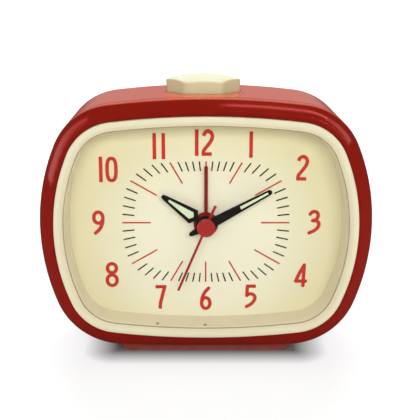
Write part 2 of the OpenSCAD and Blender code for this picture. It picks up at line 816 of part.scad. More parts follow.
module movement_front() {
    color(black) at_face() difference() {
        union() {
            difference() {
                block(-move_x, move_x, move_front_y, rear_y, move_bottom, move_top);
                block(-move_x + move_wall, move_x - move_wall, move_front_y + plate_t, rear_y + 1,
                    move_bottom + move_wall, move_top - move_wall);
            }
            rod_y(bush_r, -0.5, move_front_y + plate_t);
            for (x = [-1, 1]) for (z = [move_bottom + post_inset, move_top - post_inset])
                at([x * (move_x - post_inset), z]) rod_y(post_r, move_front_y + plate_t - lap, mid_y);
            four_corners() block(move_x - 0.1, move_x + ear_l, plate_back, plate_back + ear_t,
                ear_at[1] - ear_h / 2, ear_at[1] + ear_h / 2);
        }
        rod_y(bush_bore, -1, move_front_y + plate_t + 1);
        at(alarm_at) rod_y(shaft_bore, move_front_y + 0.4, move_front_y + plate_t + 1);
        at(time_at) rod_y(shaft_bore, move_front_y + 0.4, move_front_y + plate_t + 1);
        four_corners() at(ear_at) rod_y(small_screw_r, plate_back - 1, plate_back + ear_t + 1);
    }
}

module movement_mid() {
    room = move_wall + slip;
    color(nylon) at_face() difference() {
        union() {
            block(-move_x + room, move_x - room, mid_y, mid_y + mid_t,
                move_bottom + room, move_top - room);
            at(motion_at) rod_y(motion_post_r, hour_wheel_y, mid_y + lap);
        }
        rod_y(minute_r + bearing, mid_y - 1, mid_y + mid_t + 1);
        for (p = [alarm_at, time_at]) at(p) rod_y(shaft_bore, mid_y - 1, mid_y + mid_t + 1);
        for (p = [third_at, intermediate_at, rotor_at])
            at(p) rod_y(pivot_r, mid_y + mid_t - pivot_depth, mid_y + mid_t + 1);
    }
}

module movement_rear() {
    plate_y = rear_y + plate_t;
    color(black) at_face() difference() {
        union() {
            block(-move_x, move_x, rear_y, plate_y, bay_z + bay_r, move_top);
            difference() {
                block(bay_x0 - bay_wall, bay_x1 + bay_wall, bay_floor - bay_wall, bay_back,
                    bay_z - bay_r - bay_wall, bay_z + bay_r + bay_wall);
                block(bay_x0, bay_x1, bay_floor, bay_back + 1, bay_z - bay_r, bay_z + bay_r);
            }
            for (s = [-1, 1]) translate([0, 0, s * (switch_carriage[1] / 2 + 0.1 + rail_t / 2)])
                block(switch_at[0] - switch_carriage[0] / 2 - 1,
                    switch_at[0] + switch_carriage[0] / 2 + switch_travel + 1, plate_y - 0.1,
                    plate_y + switch_carriage_t, switch_at[1] - rail_t / 2, switch_at[1] + rail_t / 2);
            for (p = board_posts) at(p) rod_y(board_post_r, board_y + board_t, rear_y + lap);
            for (p = stator_posts) at(p) rod_y(stator_post_r, stator_y + stator_t, rear_y + lap);
        }
        rod_y(seconds_r + bearing, rear_y - 1, rear_y + pivot_depth);
        for (p = [third_at, intermediate_at, rotor_at])
            at(p) rod_y(pivot_r, rear_y - 1, rear_y + pivot_depth);
        for (p = [alarm_at, time_at]) at(p) rod_y(shaft_bore, rear_y - 1, plate_y + 1);
    }
}

// Wheels

// An arbor that turns between the middle plate and the rear plate
module arbor() { rod_y(arbor_r, mid_y + mid_t - pivot_depth + 0.2, rear_y + pivot_depth - 0.2); }

module seconds_wheel() {
    color(nylon) at_face() {
        wheel(seconds_teeth, seconds_m, 270, seconds_y);
        pinion(small_leaves, third_m, 90, third_y - 2 * lap, seconds_y + lap);
        rod_y(seconds_r, second_hand_y, rear_y + pivot_depth - 0.2);
    }
}

module third_wheel() {
    color(nylon) at_face() at(third_at) {
        wheel(third_teeth, third_m, 270 + 180 / third_teeth, third_y);
        pinion(small_leaves, clutch_m, 270 + 180 / small_leaves, clutch_y - lap, third_y + lap);
        arbor();
    }
}

module clutch_wheel() {
    color(nylon) at_face() difference() {
        wheel(clutch_teeth, clutch_m, 90, clutch_y);
        rod_y(minute_r + bearing, clutch_y - 1, clutch_y + wheel_t + 1);
    }
}

module minute_arbor() {
    disc_y = clutch_y + wheel_t + lap;
    color(brass) at_face() difference() {
        union() {
            rod_y(minute_r, minute_hand_y, disc_y + clutch_disc_t);
            pinion(cannon_leaves, motion_m, 180, motion_wheel_y - lap, motion_wheel_y + wheel_t + lap);
            rod_y(clutch_disc_r, disc_y, disc_y + clutch_disc_t);
        }
        rod_y(minute_bore, minute_hand_y - 1, disc_y + 2);
    }
}

module motion_wheel() {
    color(nylon) at_face() at(motion_at) difference() {
        union() {
            wheel(motion_teeth, motion_m, 180 / motion_teeth, motion_wheel_y);
            pinion(small_leaves, hour_m, 180 / small_leaves, hour_wheel_y + lap / 2, motion_wheel_y + lap);
        }
        rod_y(motion_post_r + bearing, hour_wheel_y - 1, mid_y + 1);
    }
}

module hour_wheel() {
    color(nylon) at_face() difference() {
        union() {
            wheel(hour_teeth, hour_m, 180, hour_wheel_y);
            rod_y(hour_r, hour_hand_y, hour_wheel_y + lap);
        }
        rod_y(hour_bore, hour_hand_y - 1, hour_wheel_y + wheel_t + 1);
    }
}

module alarm_wheel() {
    color(nylon) at_face() difference() {
        union() {
            wheel(alarm_teeth, alarm_m, 0, alarm_wheel_y);
            rod_y(alarm_r, alarm_hand_y, alarm_wheel_y + lap);
        }
        rod_y(alarm_bore, alarm_hand_y - 1, alarm_wheel_y + wheel_t + 1);
    }
}

module intermediate_wheel() {
    color(nylon) at_face() at(intermediate_at) {
        wheel(intermediate_teeth, rotor_m, 0, intermediate_y);
        pinion(small_leaves, seconds_m, 90 + 180 / small_leaves, seconds_y - 2 * lap, intermediate_y + lap);
        arbor();
    }
}

// Motor

module rotor() {
    color(steel) at_face() at(rotor_at) {
        pinion(small_leaves, rotor_m, 180 + 180 / small_leaves, intermediate_y - 2 * lap, magnet_y + lap);
        rod_y(magnet_r, magnet_y, stator_y + stator_t + 0.6);
        arbor();
    }
}

module stator() {
    arm_x = stator_corner[0] + stator_plate[0] - 0.5;
    top = stator_corner[1] + stator_plate[1];
    color(steel) at_face() at(rotor_at) slab_y(stator_y, stator_y + stator_t) difference() {
        union() {
            translate(stator_corner) square(stator_plate);
            translate([arm_x, top - stator_arm[1]]) square(stator_arm);
            translate([arm_x, stator_corner[1]]) square(stator_arm);
            translate([arm_x + stator_arm[0] - stator_arm[1], stator_corner[1]])
                square([stator_arm[1], stator_plate[1]]);
        }
        circle(r = magnet_r + magnet_gap);
    }
}

module coil() {
    core = stator_arm[1];
    x = stator_corner[0] + stator_plate[0] + stator_arm[0] - 0.5 - core / 2;
    bottom = stator_corner[1] + core + lap;
    color(copper) at_face() at(rotor_at) difference() {
        translate([x, stator_y + stator_t / 2, bottom])
            cylinder(r = coil_r, h = stator_plate[1] - 2 * core - 2 * lap);
        block(x - core / 2, x + core / 2, stator_y, stator_y + stator_t,
            bottom - 1, bottom + stator_plate[1]);
    }
}

// Electronics

module circuit_board() {
    color(board_green) at_face() block(board_corner[0], board_corner[0] + board_size[0],
        board_y, board_y + board_t, board_corner[1], board_corner[1] + board_size[1]);
}

module quartz_crystal() {
    color(steel) at_face() at(crystal_at) translate([0, board_y - crystal_r, 0]) rotate([0, 90, 0])
        cylinder(r = crystal_r, h = crystal_l);
}

module clock_chip() { color(black) at_face() at(chip_at) rod_y(chip_r, board_y - chip_t, board_y); }

module buzzer() {
    y0 = rear_y + plate_t;
    color(black) at_face() at(buzzer_at) difference() {
        rod_y(buzzer_r, y0, y0 + buzzer_t);
        rod_y(buzzer_hole_r, y0 + 1.5, y0 + buzzer_t + 1);
    }
}

// Setting shafts, knobs and switch

module alarm_shaft() {
    color(nylon) at_face() at(alarm_at) {
        rod_y(shaft_r, move_front_y + 0.6, shaft_end);
        pinion(alarm_leaves, alarm_m, 180 + 180 / alarm_leaves, alarm_wheel_y - 2 * lap,
            alarm_wheel_y + wheel_t + 2 * lap);
    }
}

module time_shaft() {
    color(nylon) at_face() at(time_at) {
        rod_y(shaft_r, move_front_y + 0.6, shaft_end);
        pinion(cannon_leaves, motion_m, 0, motion_wheel_y - 2 * lap, motion_wheel_y + wheel_t + lap);
    }
}

// A fluted knob on a shaft's end
module knob(d) {
    y0 = case_depth + knob_gap;
    flutes = 16;
    difference() {
        rod_y(d / 2, y0, y0 + knob_h);
        for (k = [0:flutes - 1]) rotate([0, k * 360 / flutes, 0])
            translate([d / 2 + 0.45, 0, 0]) rod_y(0.9, y0 - 1, y0 + knob_h + 1);
        rod_y(shaft_r, y0 - 1, shaft_end);
    }
}

module alarm_knob() { color(cream) at_face() at(alarm_at) knob(alarm_knob_d); }

module time_knob() { color(cream) at_face() at(time_at) knob(time_knob_d); }

module alarm_switch() {
    y0 = rear_y + plate_t + 0.1;
    color(cream) at_face() at(switch_at) {
        block(-switch_carriage[0] / 2, switch_carriage[0] / 2, y0, y0 + switch_carriage_t - 0.2,
            -switch_carriage[1] / 2, switch_carriage[1] / 2);
        block(-switch_neck[0] / 2, switch_neck[0] / 2, y0 + 1, case_depth + 1,
            -switch_neck[1] / 2, switch_neck[1] / 2);
        block(-switch_cap[0] / 2, switch_cap[0] / 2, case_depth + 0.4, case_depth + 2,
            -switch_cap[1] / 2, switch_cap[1] / 2);
        for (k = [-1:1]) block(k * 1.6 - 0.4, k * 1.6 + 0.4, case_depth + 1.9, case_depth + 2.6,
            -switch_cap[1] / 2, switch_cap[1] / 2);
    }
}

// Battery and its door

module battery() {
    color(black) at_face() translate([battery_x0, battery_y, bay_z]) rotate([0, 90, 0]) {
        cylinder(r = battery_d / 2, h = battery_l);
        translate([0, 0, battery_l - lap]) cylinder(r = nub_r, h = nub_l + lap);
    }
}

// A contact plate of the battery bay, from x on
module contact_plate(x) {
    color(steel) at_face() block(x, x + contact_t, battery_y - contact_half, battery_y + contact_half,
        bay_z - contact_half, bay_z + contact_half);
}

module battery_contact() { contact_plate(bay_x0); }

module battery_terminal() { contact_plate(bay_x1 - contact_t); }

module battery_spring() {
    color(steel) at_face() translate([bay_x0 + contact_t + spring_seat, battery_y, bay_z])
        rotate([0, 90, 0])
            coil_spring(battery_spring_r[0], battery_spring_r[1], spring_room - 2 * spring_seat,
                battery_spring_turns, spring_wire_r);
}

module battery_door() {
    x0 = door_x - door_w / 2;
    color(red) at_face() {
        block(x0, x0 + door_w, door_y0, door_y0 + door_t, door_axis_z, door_top);
        translate([x0 - door_pin_l, door_axis_y, door_axis_z]) rotate([0, 90, 0])
            cylinder(r = door_bead_r, h = door_w + 2 * door_pin_l);
    }
}

// Screws

// A cross slot in a screw head that ends at y
module cross_slot(y) {
    block(-slot_half, slot_half, y - slot_depth, y + 1, -slot_w / 2, slot_w / 2);
    block(-slot_w / 2, slot_w / 2, y - slot_depth, y + 1, -slot_half, slot_half);
}

module case_screws() {
    color(steel) at_face() four_corners() at(boss_at()) difference() {
        union() {
            rod_y(screw_r, screw_tip + 0.3, screw_seat + lap);
            rod_y(screw_head_r, screw_seat, screw_seat + screw_head_t);
        }
        cross_slot(screw_seat + screw_head_t);
    }
}

module movement_screws() {
    seat = plate_back + ear_t;
    color(steel) at_face() four_corners() at(ear_at) difference() {
        union() {
            rod_y(small_screw_r, dial_t + 0.5, seat + lap);
            rod_y(small_head_r, seat, seat + small_head_t);
        }
        cross_slot(seat + small_head_t);
    }
}

module foot_screws() {
    bottom = foot_skin + 0.2 - centre_z;
    color(steel) at_face() both_sides() translate([foot_screw_x, foot_mid_y, 0]) {
        translate([0, 0, bottom]) cylinder(r = screw_r, h = foot_screw_seat - bottom + lap);
        translate([0, 0, foot_screw_seat]) cylinder(r = foot_head_r, h = small_head_t);
    }
}

front_frame();
rear_shell();
bezel_ring();
lens();
dial_surround();
dial();
alarm_hand();
hour_hand();
hour_lume();
minute_hand();
minute_lume();
second_hand();
second_cap();
snooze_button();
snooze_spring();
snooze_bracket();
snooze_switch();
foot();
movement_front();
movement_mid();
movement_rear();
seconds_wheel();
third_wheel();
clutch_wheel();
minute_arbor();
motion_wheel();
hour_wheel();
alarm_wheel();
intermediate_wheel();
rotor();
stator();
coil();
circuit_board();
quartz_crystal();
clock_chip();
buzzer();
alarm_shaft();
alarm_knob();
time_shaft();
time_knob();
alarm_switch();
battery();
battery_contact();
battery_terminal();
battery_spring();
battery_door();
case_screws();
movement_screws();
foot_screws();
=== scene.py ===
"""Retro alarm clock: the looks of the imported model, and a plain studio to see it in.

Objects are in metres in the CAD frame: the origin is the centre of the foot's underside, Z points up and
the dial faces -Y. Sizes in this file are millimetres unless a comment says otherwise. Most shapes are worked
out from the dial's centre: x to the right, y the depth behind the dial's face, z the height over the centre.
"""

import json
import logging
from dataclasses import dataclass
from enum import Enum

import bpy
import numpy as np
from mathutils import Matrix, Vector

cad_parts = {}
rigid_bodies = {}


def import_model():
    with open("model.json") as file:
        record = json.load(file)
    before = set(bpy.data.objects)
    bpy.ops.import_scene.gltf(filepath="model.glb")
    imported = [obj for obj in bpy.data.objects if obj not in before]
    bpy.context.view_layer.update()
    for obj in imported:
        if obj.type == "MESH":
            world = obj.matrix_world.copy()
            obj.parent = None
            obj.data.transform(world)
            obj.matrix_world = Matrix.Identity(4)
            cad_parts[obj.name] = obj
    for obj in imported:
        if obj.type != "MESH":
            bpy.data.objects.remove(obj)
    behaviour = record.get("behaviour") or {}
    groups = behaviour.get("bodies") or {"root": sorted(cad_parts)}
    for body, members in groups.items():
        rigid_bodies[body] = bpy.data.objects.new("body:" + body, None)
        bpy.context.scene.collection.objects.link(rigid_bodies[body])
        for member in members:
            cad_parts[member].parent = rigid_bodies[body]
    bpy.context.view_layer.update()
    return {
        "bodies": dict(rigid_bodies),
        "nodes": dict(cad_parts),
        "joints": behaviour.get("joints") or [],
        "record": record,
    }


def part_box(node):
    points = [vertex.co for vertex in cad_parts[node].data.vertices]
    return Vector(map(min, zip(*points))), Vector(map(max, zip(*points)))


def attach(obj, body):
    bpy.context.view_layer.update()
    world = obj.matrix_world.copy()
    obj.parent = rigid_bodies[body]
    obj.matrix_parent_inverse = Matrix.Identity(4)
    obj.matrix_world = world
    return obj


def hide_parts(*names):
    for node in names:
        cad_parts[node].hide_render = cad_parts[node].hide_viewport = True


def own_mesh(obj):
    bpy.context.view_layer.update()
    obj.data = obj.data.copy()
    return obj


MM = 0.001
LOG = logging.getLogger("alarm_clock")

# Radii of the case's bows: top and bottom, sides, corners. The lower half of the case's edge has its own
UPPER_BOWS = (280.0, 73.0, 23.0)
LOWER_BOWS = (1040.0, 79.0, 24.9)
# How far the plain outline inside the rim lies in from the case's edge, at the sides and at the top
PLAIN_INSET = (0.4, 0.2)
# Width of the red rim, seen from the front
RIM_W = 5.0
# How far the button's flange reaches out under the case
FLANGE_OUT = 1.6
# How far a rounded corner's curve reaches, in units of the radius that it stands for
CURVE_REACH = 1.15
# Edges that turn by more degrees than this are shaded sharp
SHARP_TURN = 40
WHITE = (1.0, 1.0, 1.0, 1.0)

Colour = tuple[int, int, int]
Spot = tuple[float, float, float]
Surface = tuple[np.ndarray, list[np.ndarray]]
Tree = bpy.types.NodeTree
Socket = bpy.types.NodeSocket


# Shapes


@dataclass(frozen=True)
class Place:
    """Where the dial's centre lies in the CAD frame."""

    face_y: float
    centre_z: float

    @property
    def shift(self) -> np.ndarray:
        """The step from the CAD frame's origin to the dial's centre."""
        return np.array([0.0, self.face_y, self.centre_z])

    def to_frame(self, points: np.ndarray) -> np.ndarray:
        """Moves points from the dial's centre into the CAD frame, in metres."""
        return (points + self.shift) * MM


@dataclass(frozen=True)
class Outline:
    """Four bowed sides joined by round corners, each arc touching the next one."""

    half_w: float
    half_h: float
    top_r: float
    side_r: float
    corner_r: float
    steps: tuple[int, int, int] = (24, 22, 14)

    def corner_centre(self) -> np.ndarray:
        """Finds the corner arc's centre.

        Its distance from each bow's centre is that bow's radius less its own.

        Returns:
            The centre of the upper right corner, as (x, z).
        """
        top = np.array([0.0, self.half_h - self.top_r])
        side = np.array([self.half_w - self.side_r, 0.0])
        span = np.linalg.norm(side - top)
        unit = (side - top) / span
        long_r = self.top_r - self.corner_r
        along = (long_r**2 - (self.side_r - self.corner_r) ** 2 + span**2) / (2 * span)
        off = np.sqrt(long_r**2 - along**2)
        return top + along * unit + off * np.array([unit[1], -unit[0]])

    def arcs(self) -> tuple[np.ndarray, np.ndarray, np.ndarray]:
        """Walks the outline clockwise from its top.

        A quarter is worked out and mirrored. Every point is its arc's centre plus the radius times a
        direction, so that an inset of the whole outline only shortens the radius.

        Returns:
            The arcs' centres (n, 2), radii (n,) and unit directions (n, 2).
        """
        corner = self.corner_centre()
        turn_in = np.arctan2(corner[1] - self.half_h + self.top_r, corner[0])
        turn_out = np.arctan2(corner[1], corner[0] - self.half_w + self.side_r)
        top_n, corner_n, side_n = self.steps
        angle = np.concatenate([
            np.linspace(np.pi / 2, turn_in, top_n, endpoint=False),
            np.linspace(turn_in, turn_out, corner_n, endpoint=False),
            np.linspace(turn_out, 0.0, side_n + 1),
        ])
        counts = (top_n, corner_n, side_n + 1)
        middles = [[0.0, self.half_h - self.top_r], corner, [self.half_w - self.side_r, 0.0]]
        centre = np.repeat(middles, counts, axis=0)
        radius = np.repeat([self.top_r, self.corner_r, self.side_r], counts)
        quarter = np.column_stack([centre, np.cos(angle), np.sin(angle)])
        flips = ((1, 1), (1, -1), (-1, -1), (-1, 1))
        runs = (slice(None, -1), slice(None, 0, -1)) * 2
        walk = np.concatenate([quarter[run] * np.array([x, z, x, z]) for run, (x, z) in zip(runs, flips)])
        radii = np.concatenate([radius[run] for run in runs])
        return walk[:, :2], radii, walk[:, 2:]

    @property
    def count(self) -> int:
        """Number of points round the outline."""
        return 4 * sum(self.steps)

    def ring(self, inset: float) -> np.ndarray:
        """Points of the outline moved in by an inset, as (n, 2)."""
        centre, radius, way = self.arcs()
        return centre + (radius - inset)[:, None] * way

    def radius_at(self, angle: np.ndarray) -> np.ndarray:
        """Distance from the middle to the outline.

        Args:
            angle: Angles that run clockwise from the top.

        Returns:
            The distance at each angle.
        """
        ring = self.ring(0.0)
        ring_angle = np.arctan2(ring[:, 0], ring[:, 1])
        order = np.argsort(ring_angle)
        return np.interp(angle, ring_angle[order], np.hypot(ring[order, 0], ring[order, 1]), period=2 * np.pi)


@dataclass(frozen=True)
class FlaredOutline:
    """The case's outline: a plain one inside, led out over the rim's width to the case's own edge."""

    plain: Outline
    upper: Outline
    lower: Outline
    reach: float

    @property
    def count(self) -> int:
        """Number of points round the outline."""
        return self.plain.count

    def ring(self, inset: float) -> np.ndarray:
        """Points of the outline moved in by an inset.

        The step from the plain outline to the edge, whose upper and lower halves have arcs of their own, is
        added in full where there is no inset, and not at all where the inset is the reach.

        Args:
            inset: How far the outline is moved in.

        Returns:
            The points, as (n, 2).
        """
        quarter = np.arange(self.count) * 4 // self.count
        is_upper = np.isin(quarter, (0, 3))[:, None]
        edge = np.where(is_upper, self.upper.ring(0.0), self.lower.ring(0.0))
        share = max(0.0, 1.0 - inset / self.reach)
        return self.plain.ring(inset) + share * (edge - self.plain.ring(0.0))

    def height(self, across: np.ndarray, inset: float, side: int) -> np.ndarray:
        """Heights of the outline's top or bottom.

        Args:
            across: Places across the outline.
            inset: How far the outline is moved in.
            side: 1 for the top, -1 for the bottom.

        Returns:
            The height at each place.
        """
        ring = self.ring(inset)
        half = ring[ring[:, 1] * side > 0]
        order = np.argsort(half[:, 0])
        return np.interp(across, half[order, 0], half[order, 1])


def rounded(corners: np.ndarray, cuts: np.ndarray, steps: int = 6, hold: float = 0.2,
            spans: dict[int, int] | None = None) -> np.ndarray:
    """Rounds the corners of a closed polygon.

    Each corner C becomes the curve (1-t)^2 A + 2t(1-t) C + t^2 B, from A, a cut before the corner, to B, a
    cut after it. A point just before and just after each curve keeps the straight runs straight when shaded.

    Args:
        corners: The polygon's corners, as (k, 2).
        cuts: How far each curve reaches along its two sides.
        steps: Pieces of each curve.
        hold: Distance of the extra points from the curves.
        spans: How many pieces the straight run after a corner has, where that isn't one.

    Returns:
        The rounded polygon's points, as (n, 2).
    """
    back = np.roll(corners, 1, axis=0) - corners
    ahead = np.roll(corners, -1, axis=0) - corners
    back /= np.linalg.norm(back, axis=1, keepdims=True)
    ahead /= np.linalg.norm(ahead, axis=1, keepdims=True)
    reach = np.asarray(cuts, float)[:, None]
    start = corners + back * reach
    end = corners + ahead * reach
    t = np.linspace(0.0, 1.0, steps + 1)[None, :, None]
    curve = (1 - t) ** 2 * start[:, None] + 2 * t * (1 - t) * corners[:, None] + t**2 * end[:, None]
    parts = np.concatenate([(start + back * hold)[:, None], curve, (end + ahead * hold)[:, None]], axis=1)
    runs = []
    for k, part in enumerate(parts):
        pieces = (spans or {}).get(k, 1)
        share = np.linspace(0.0, 1.0, pieces + 1)[1:-1, None]
        runs += [part, part[-1] + (parts[(k + 1) % len(parts)][0] - part[-1]) * share]
    return np.concatenate(runs)


def smooth_path(points: np.ndarray, steps: int = 8) -> np.ndarray:
    """Carries a smooth curve through points.

    Between two points the curve is the cubic whose slope at each is half the step between that point's
    neighbours. At the ends, where a neighbour is missing, the step is carried straight on.

    Args:
        points: The points, as (k, 2).
        steps: Pieces between two points.

    Returns:
        Points of the curve, as (n, 2).
    """
    row = np.vstack([2 * points[0] - points[1], points, 2 * points[-1] - points[-2]])
    p0, p1, p2, p3 = row[:-3, None], row[1:-2, None], row[2:-1, None], row[3:, None]
    t = np.linspace(0.0, 1.0, steps, endpoint=False)[None, :, None]
    curve = 0.5 * (2 * p1 + (p2 - p0) * t + (2 * p0 - 5 * p1 + 4 * p2 - p3) * t**2
                   + (3 * p1 - p0 - 3 * p2 + p3) * t**3)
    return np.vstack([curve.reshape(-1, 2), points[-1]])


def grid_faces(rows: int, cols: int, wrap_rows: bool = False) -> np.ndarray:
    """Four-sided faces of a grid of points whose columns come round to the first one.

    Args:
        rows: Number of rows.
        cols: Points in a row.
        wrap_rows: Whether the last row joins the first one.

    Returns:
        Point numbers of the faces, as (m, 4).
    """
    row = np.arange(rows if wrap_rows else rows - 1)[:, None]
    col = np.arange(cols)[None, :]
    here, below = row * cols, (row + 1) % rows * cols
    right = (col + 1) % cols
    return np.stack([here + col, here + right, below + right, below + col], axis=-1).reshape(-1, 4)


def swept(outline: Outline | FlaredOutline, profile: np.ndarray) -> Surface:
    """Carries a closed profile of (inset, depth) points round an outline.

    P(u, v) is point u of the outline moved in by inset(v), at depth(v).

    Args:
        outline: The outline that the profile follows.
        profile: The profile's points, as (k, 2).

    Returns:
        Points from the dial's centre, row by row along the profile, and the faces.
    """
    flat = np.stack([outline.ring(inset) for inset in profile[:, 0]])
    depth = np.broadcast_to(profile[:, 1:], flat.shape[:2])
    points = np.stack([flat[..., 0], depth, flat[..., 1]], axis=-1)
    return points.reshape(-1, 3), [grid_faces(len(profile), outline.count, wrap_rows=True)]


def capped(rings: np.ndarray) -> Surface:
    """Joins rings of equal length into a closed surface, with a fan of faces at its first and last ring.

    Args:
        rings: The rings, as (rows, n, 3).

    Returns:
        Points and faces.
    """
    rows, cols, _ = rings.shape
    points = np.vstack([rings.reshape(-1, 3), rings[0].mean(axis=0), rings[-1].mean(axis=0)])
    col = np.arange(cols)
    right = (col + 1) % cols
    base = (rows - 1) * cols
    first = np.column_stack([right, col, np.full(cols, rows * cols)])
    last = np.column_stack([base + col, base + right, np.full(cols, rows * cols + 1)])
    return points, [grid_faces(rows, cols), first, last]


def lathed(profile: np.ndarray, sides: int = 96, flutes: int = 0, flute_depth: float = 0.0,
           fluted: np.ndarray | None = None) -> Surface:
    """Turns a profile of (radius, height) points about an axis that points to -Y.

    The radius at angle a is radius(v) less a flute: flute_depth times the fourth power of the cosine of
    flutes/2 times a, where the profile is fluted.

    Args:
        profile: The profile's points, as (k, 2), from one end of the axis to the other.
        sides: Points round the axis.
        flutes: Number of flutes.
        flute_depth: Depth of a flute.
        fluted: A share from 0 to 1 for each profile point, how deep the flutes are there.

    Returns:
        Points about the origin and faces.
    """
    angle = np.linspace(0.0, 2 * np.pi, sides, endpoint=False)
    radius = np.repeat(profile[:, :1], sides, axis=1)
    if fluted is not None:
        radius = radius - flute_depth * fluted[:, None] * np.cos(flutes * angle / 2)[None] ** 4
    height = np.repeat(profile[:, 1:], sides, axis=1)
    return capped(np.stack([radius * np.cos(angle), -height, radius * np.sin(angle)], axis=-1))


def pillow(middle: Spot, half: Spot, square: float = 0.35, sides: int = 32, rows: int = 16) -> Surface:
    """A bar with soft edges: a sphere whose sines and cosines are raised to a power, which squares it.

    Args:
        middle: Its middle.
        half: Half its three sizes.
        square: The power: 1 gives an egg, near 0 a block.
        sides: Points round it.
        rows: Rows from pole to pole.

    Returns:
        Points and faces.
    """
    around = np.linspace(0.0, 2 * np.pi, sides, endpoint=False)[None]
    up = np.linspace(-np.pi / 2, np.pi / 2, rows + 1)[1:-1, None]

    def soft(value: np.ndarray) -> np.ndarray:
        """A sine or cosine raised to the power, with its sign kept."""
        return np.sign(value) * np.abs(value) ** square

    x = soft(np.cos(up)) * soft(np.cos(around))
    z = soft(np.cos(up)) * soft(np.sin(around))
    y = np.broadcast_to(soft(np.sin(up)), x.shape)
    return capped(np.stack([x, y, z], axis=-1) * np.array(half) + np.array(middle))


def ribbon(path: np.ndarray, width: float, height: float, round_ends: bool = False,
           closed: bool = False) -> Surface:
    """A flat printed stroke: a path of (x, z) points given a width, and a small height over the dial.

    The edges lie half the width to each side of the path, across its direction. A round end carries the path
    on by half the width while the width falls as a circle's does. The back is sunk a little into the dial.

    Args:
        path: Points along the stroke, as (n, 2).
        width: Width of the stroke.
        height: How far the stroke stands out before the dial.
        round_ends: Whether the ends are round.
        closed: Whether the stroke is a loop.

    Returns:
        Points from the dial's centre and faces.
    """
    half = np.full(len(path), width / 2)
    if round_ends:
        bend = np.linspace(np.pi / 2 * 0.94, 0.0, 6, endpoint=False)
        first = (path[0] - path[1]) / np.linalg.norm(path[0] - path[1])
        last = (path[-1] - path[-2]) / np.linalg.norm(path[-1] - path[-2])
        reach = np.sin(bend)[:, None] * width / 2
        path = np.vstack([path[0] + first * reach, path, path[-1] + last * reach[::-1]])
        half = np.concatenate([np.cos(bend) * width / 2, half, np.cos(bend[::-1]) * width / 2])
    ahead = np.roll(path, -1, axis=0) - np.roll(path, 1, axis=0) if closed else np.gradient(path, axis=0)
    ahead /= np.linalg.norm(ahead, axis=1, keepdims=True)
    across = np.column_stack([-ahead[:, 1], ahead[:, 0]]) * half[:, None]
    left, right = path + across, path - across
    sunk = 0.02
    front, back = np.full(len(path), -height), np.full(len(path), sunk)
    rings = [(left, front), (right, front), (right, back), (left, back)]
    points = np.stack([np.column_stack([edge[:, 0], depth, edge[:, 1]]) for edge, depth in rings], axis=1)
    faces = grid_faces(len(path), 4, wrap_rows=closed)
    ends = [] if closed else [np.array([[3, 2, 1, 0], [0, 1, 2, 3]]) + np.array([[0], [4 * len(path) - 4]])]
    return points.reshape(-1, 3), [faces, *ends]


def coiled(radius: float, height: float, turns: int, wire_r: float, steps: int = 48, sides: int = 12
           ) -> Surface:
    """Winds a round wire into a coil that stands on the origin.

    At a share s of the wire its middle has gone s times the turns round the axis and s of the way up. The
    wire's circle lies across it: the radius plus wire_r cos a outwards, and wire_r sin a upwards.

    Args:
        radius: Radius of the coil, to the wire's middle.
        height: Height of the coil over all.
        turns: Number of turns.
        wire_r: Radius of the wire.
        steps: Pieces of a turn.
        sides: Points round the wire.

    Returns:
        Points and faces.
    """
    share = np.linspace(0.0, 1.0, steps * turns + 1)[:, None]
    around = np.linspace(0.0, 2 * np.pi, sides, endpoint=False)[None]
    turn = 2 * np.pi * turns * share
    reach = radius + wire_r * np.cos(around)
    up = wire_r + (height - 2 * wire_r) * share + wire_r * np.sin(around)
    return capped(np.stack([reach * np.cos(turn), reach * np.sin(turn), up], axis=-1))


def joined(parts: list[Surface]) -> Surface:
    """Puts several surfaces into one list of points and faces.

    Args:
        parts: The surfaces.

    Returns:
        All their points and faces.
    """
    starts = np.cumsum([0] + [len(points) for points, _ in parts[:-1]])
    faces = [face + start for (_, sets), start in zip(parts, starts) for face in sets]
    return np.vstack([points for points, _ in parts]), faces


def nearness(profile: np.ndarray, spot: tuple[float, float], reach: float) -> np.ndarray:
    """How near each point of a section is to a spot: 1 at the spot, falling to none at the reach."""
    return np.clip(1 - np.hypot(profile[:, 0] - spot[0], profile[:, 1] - spot[1]) / reach, 0, 1)


def with_ends(edge: np.ndarray) -> np.ndarray:
    """Edge values for a capped surface: those of its rings, and none for its two end points."""
    return np.concatenate([edge.ravel(), [0.0, 0.0]])


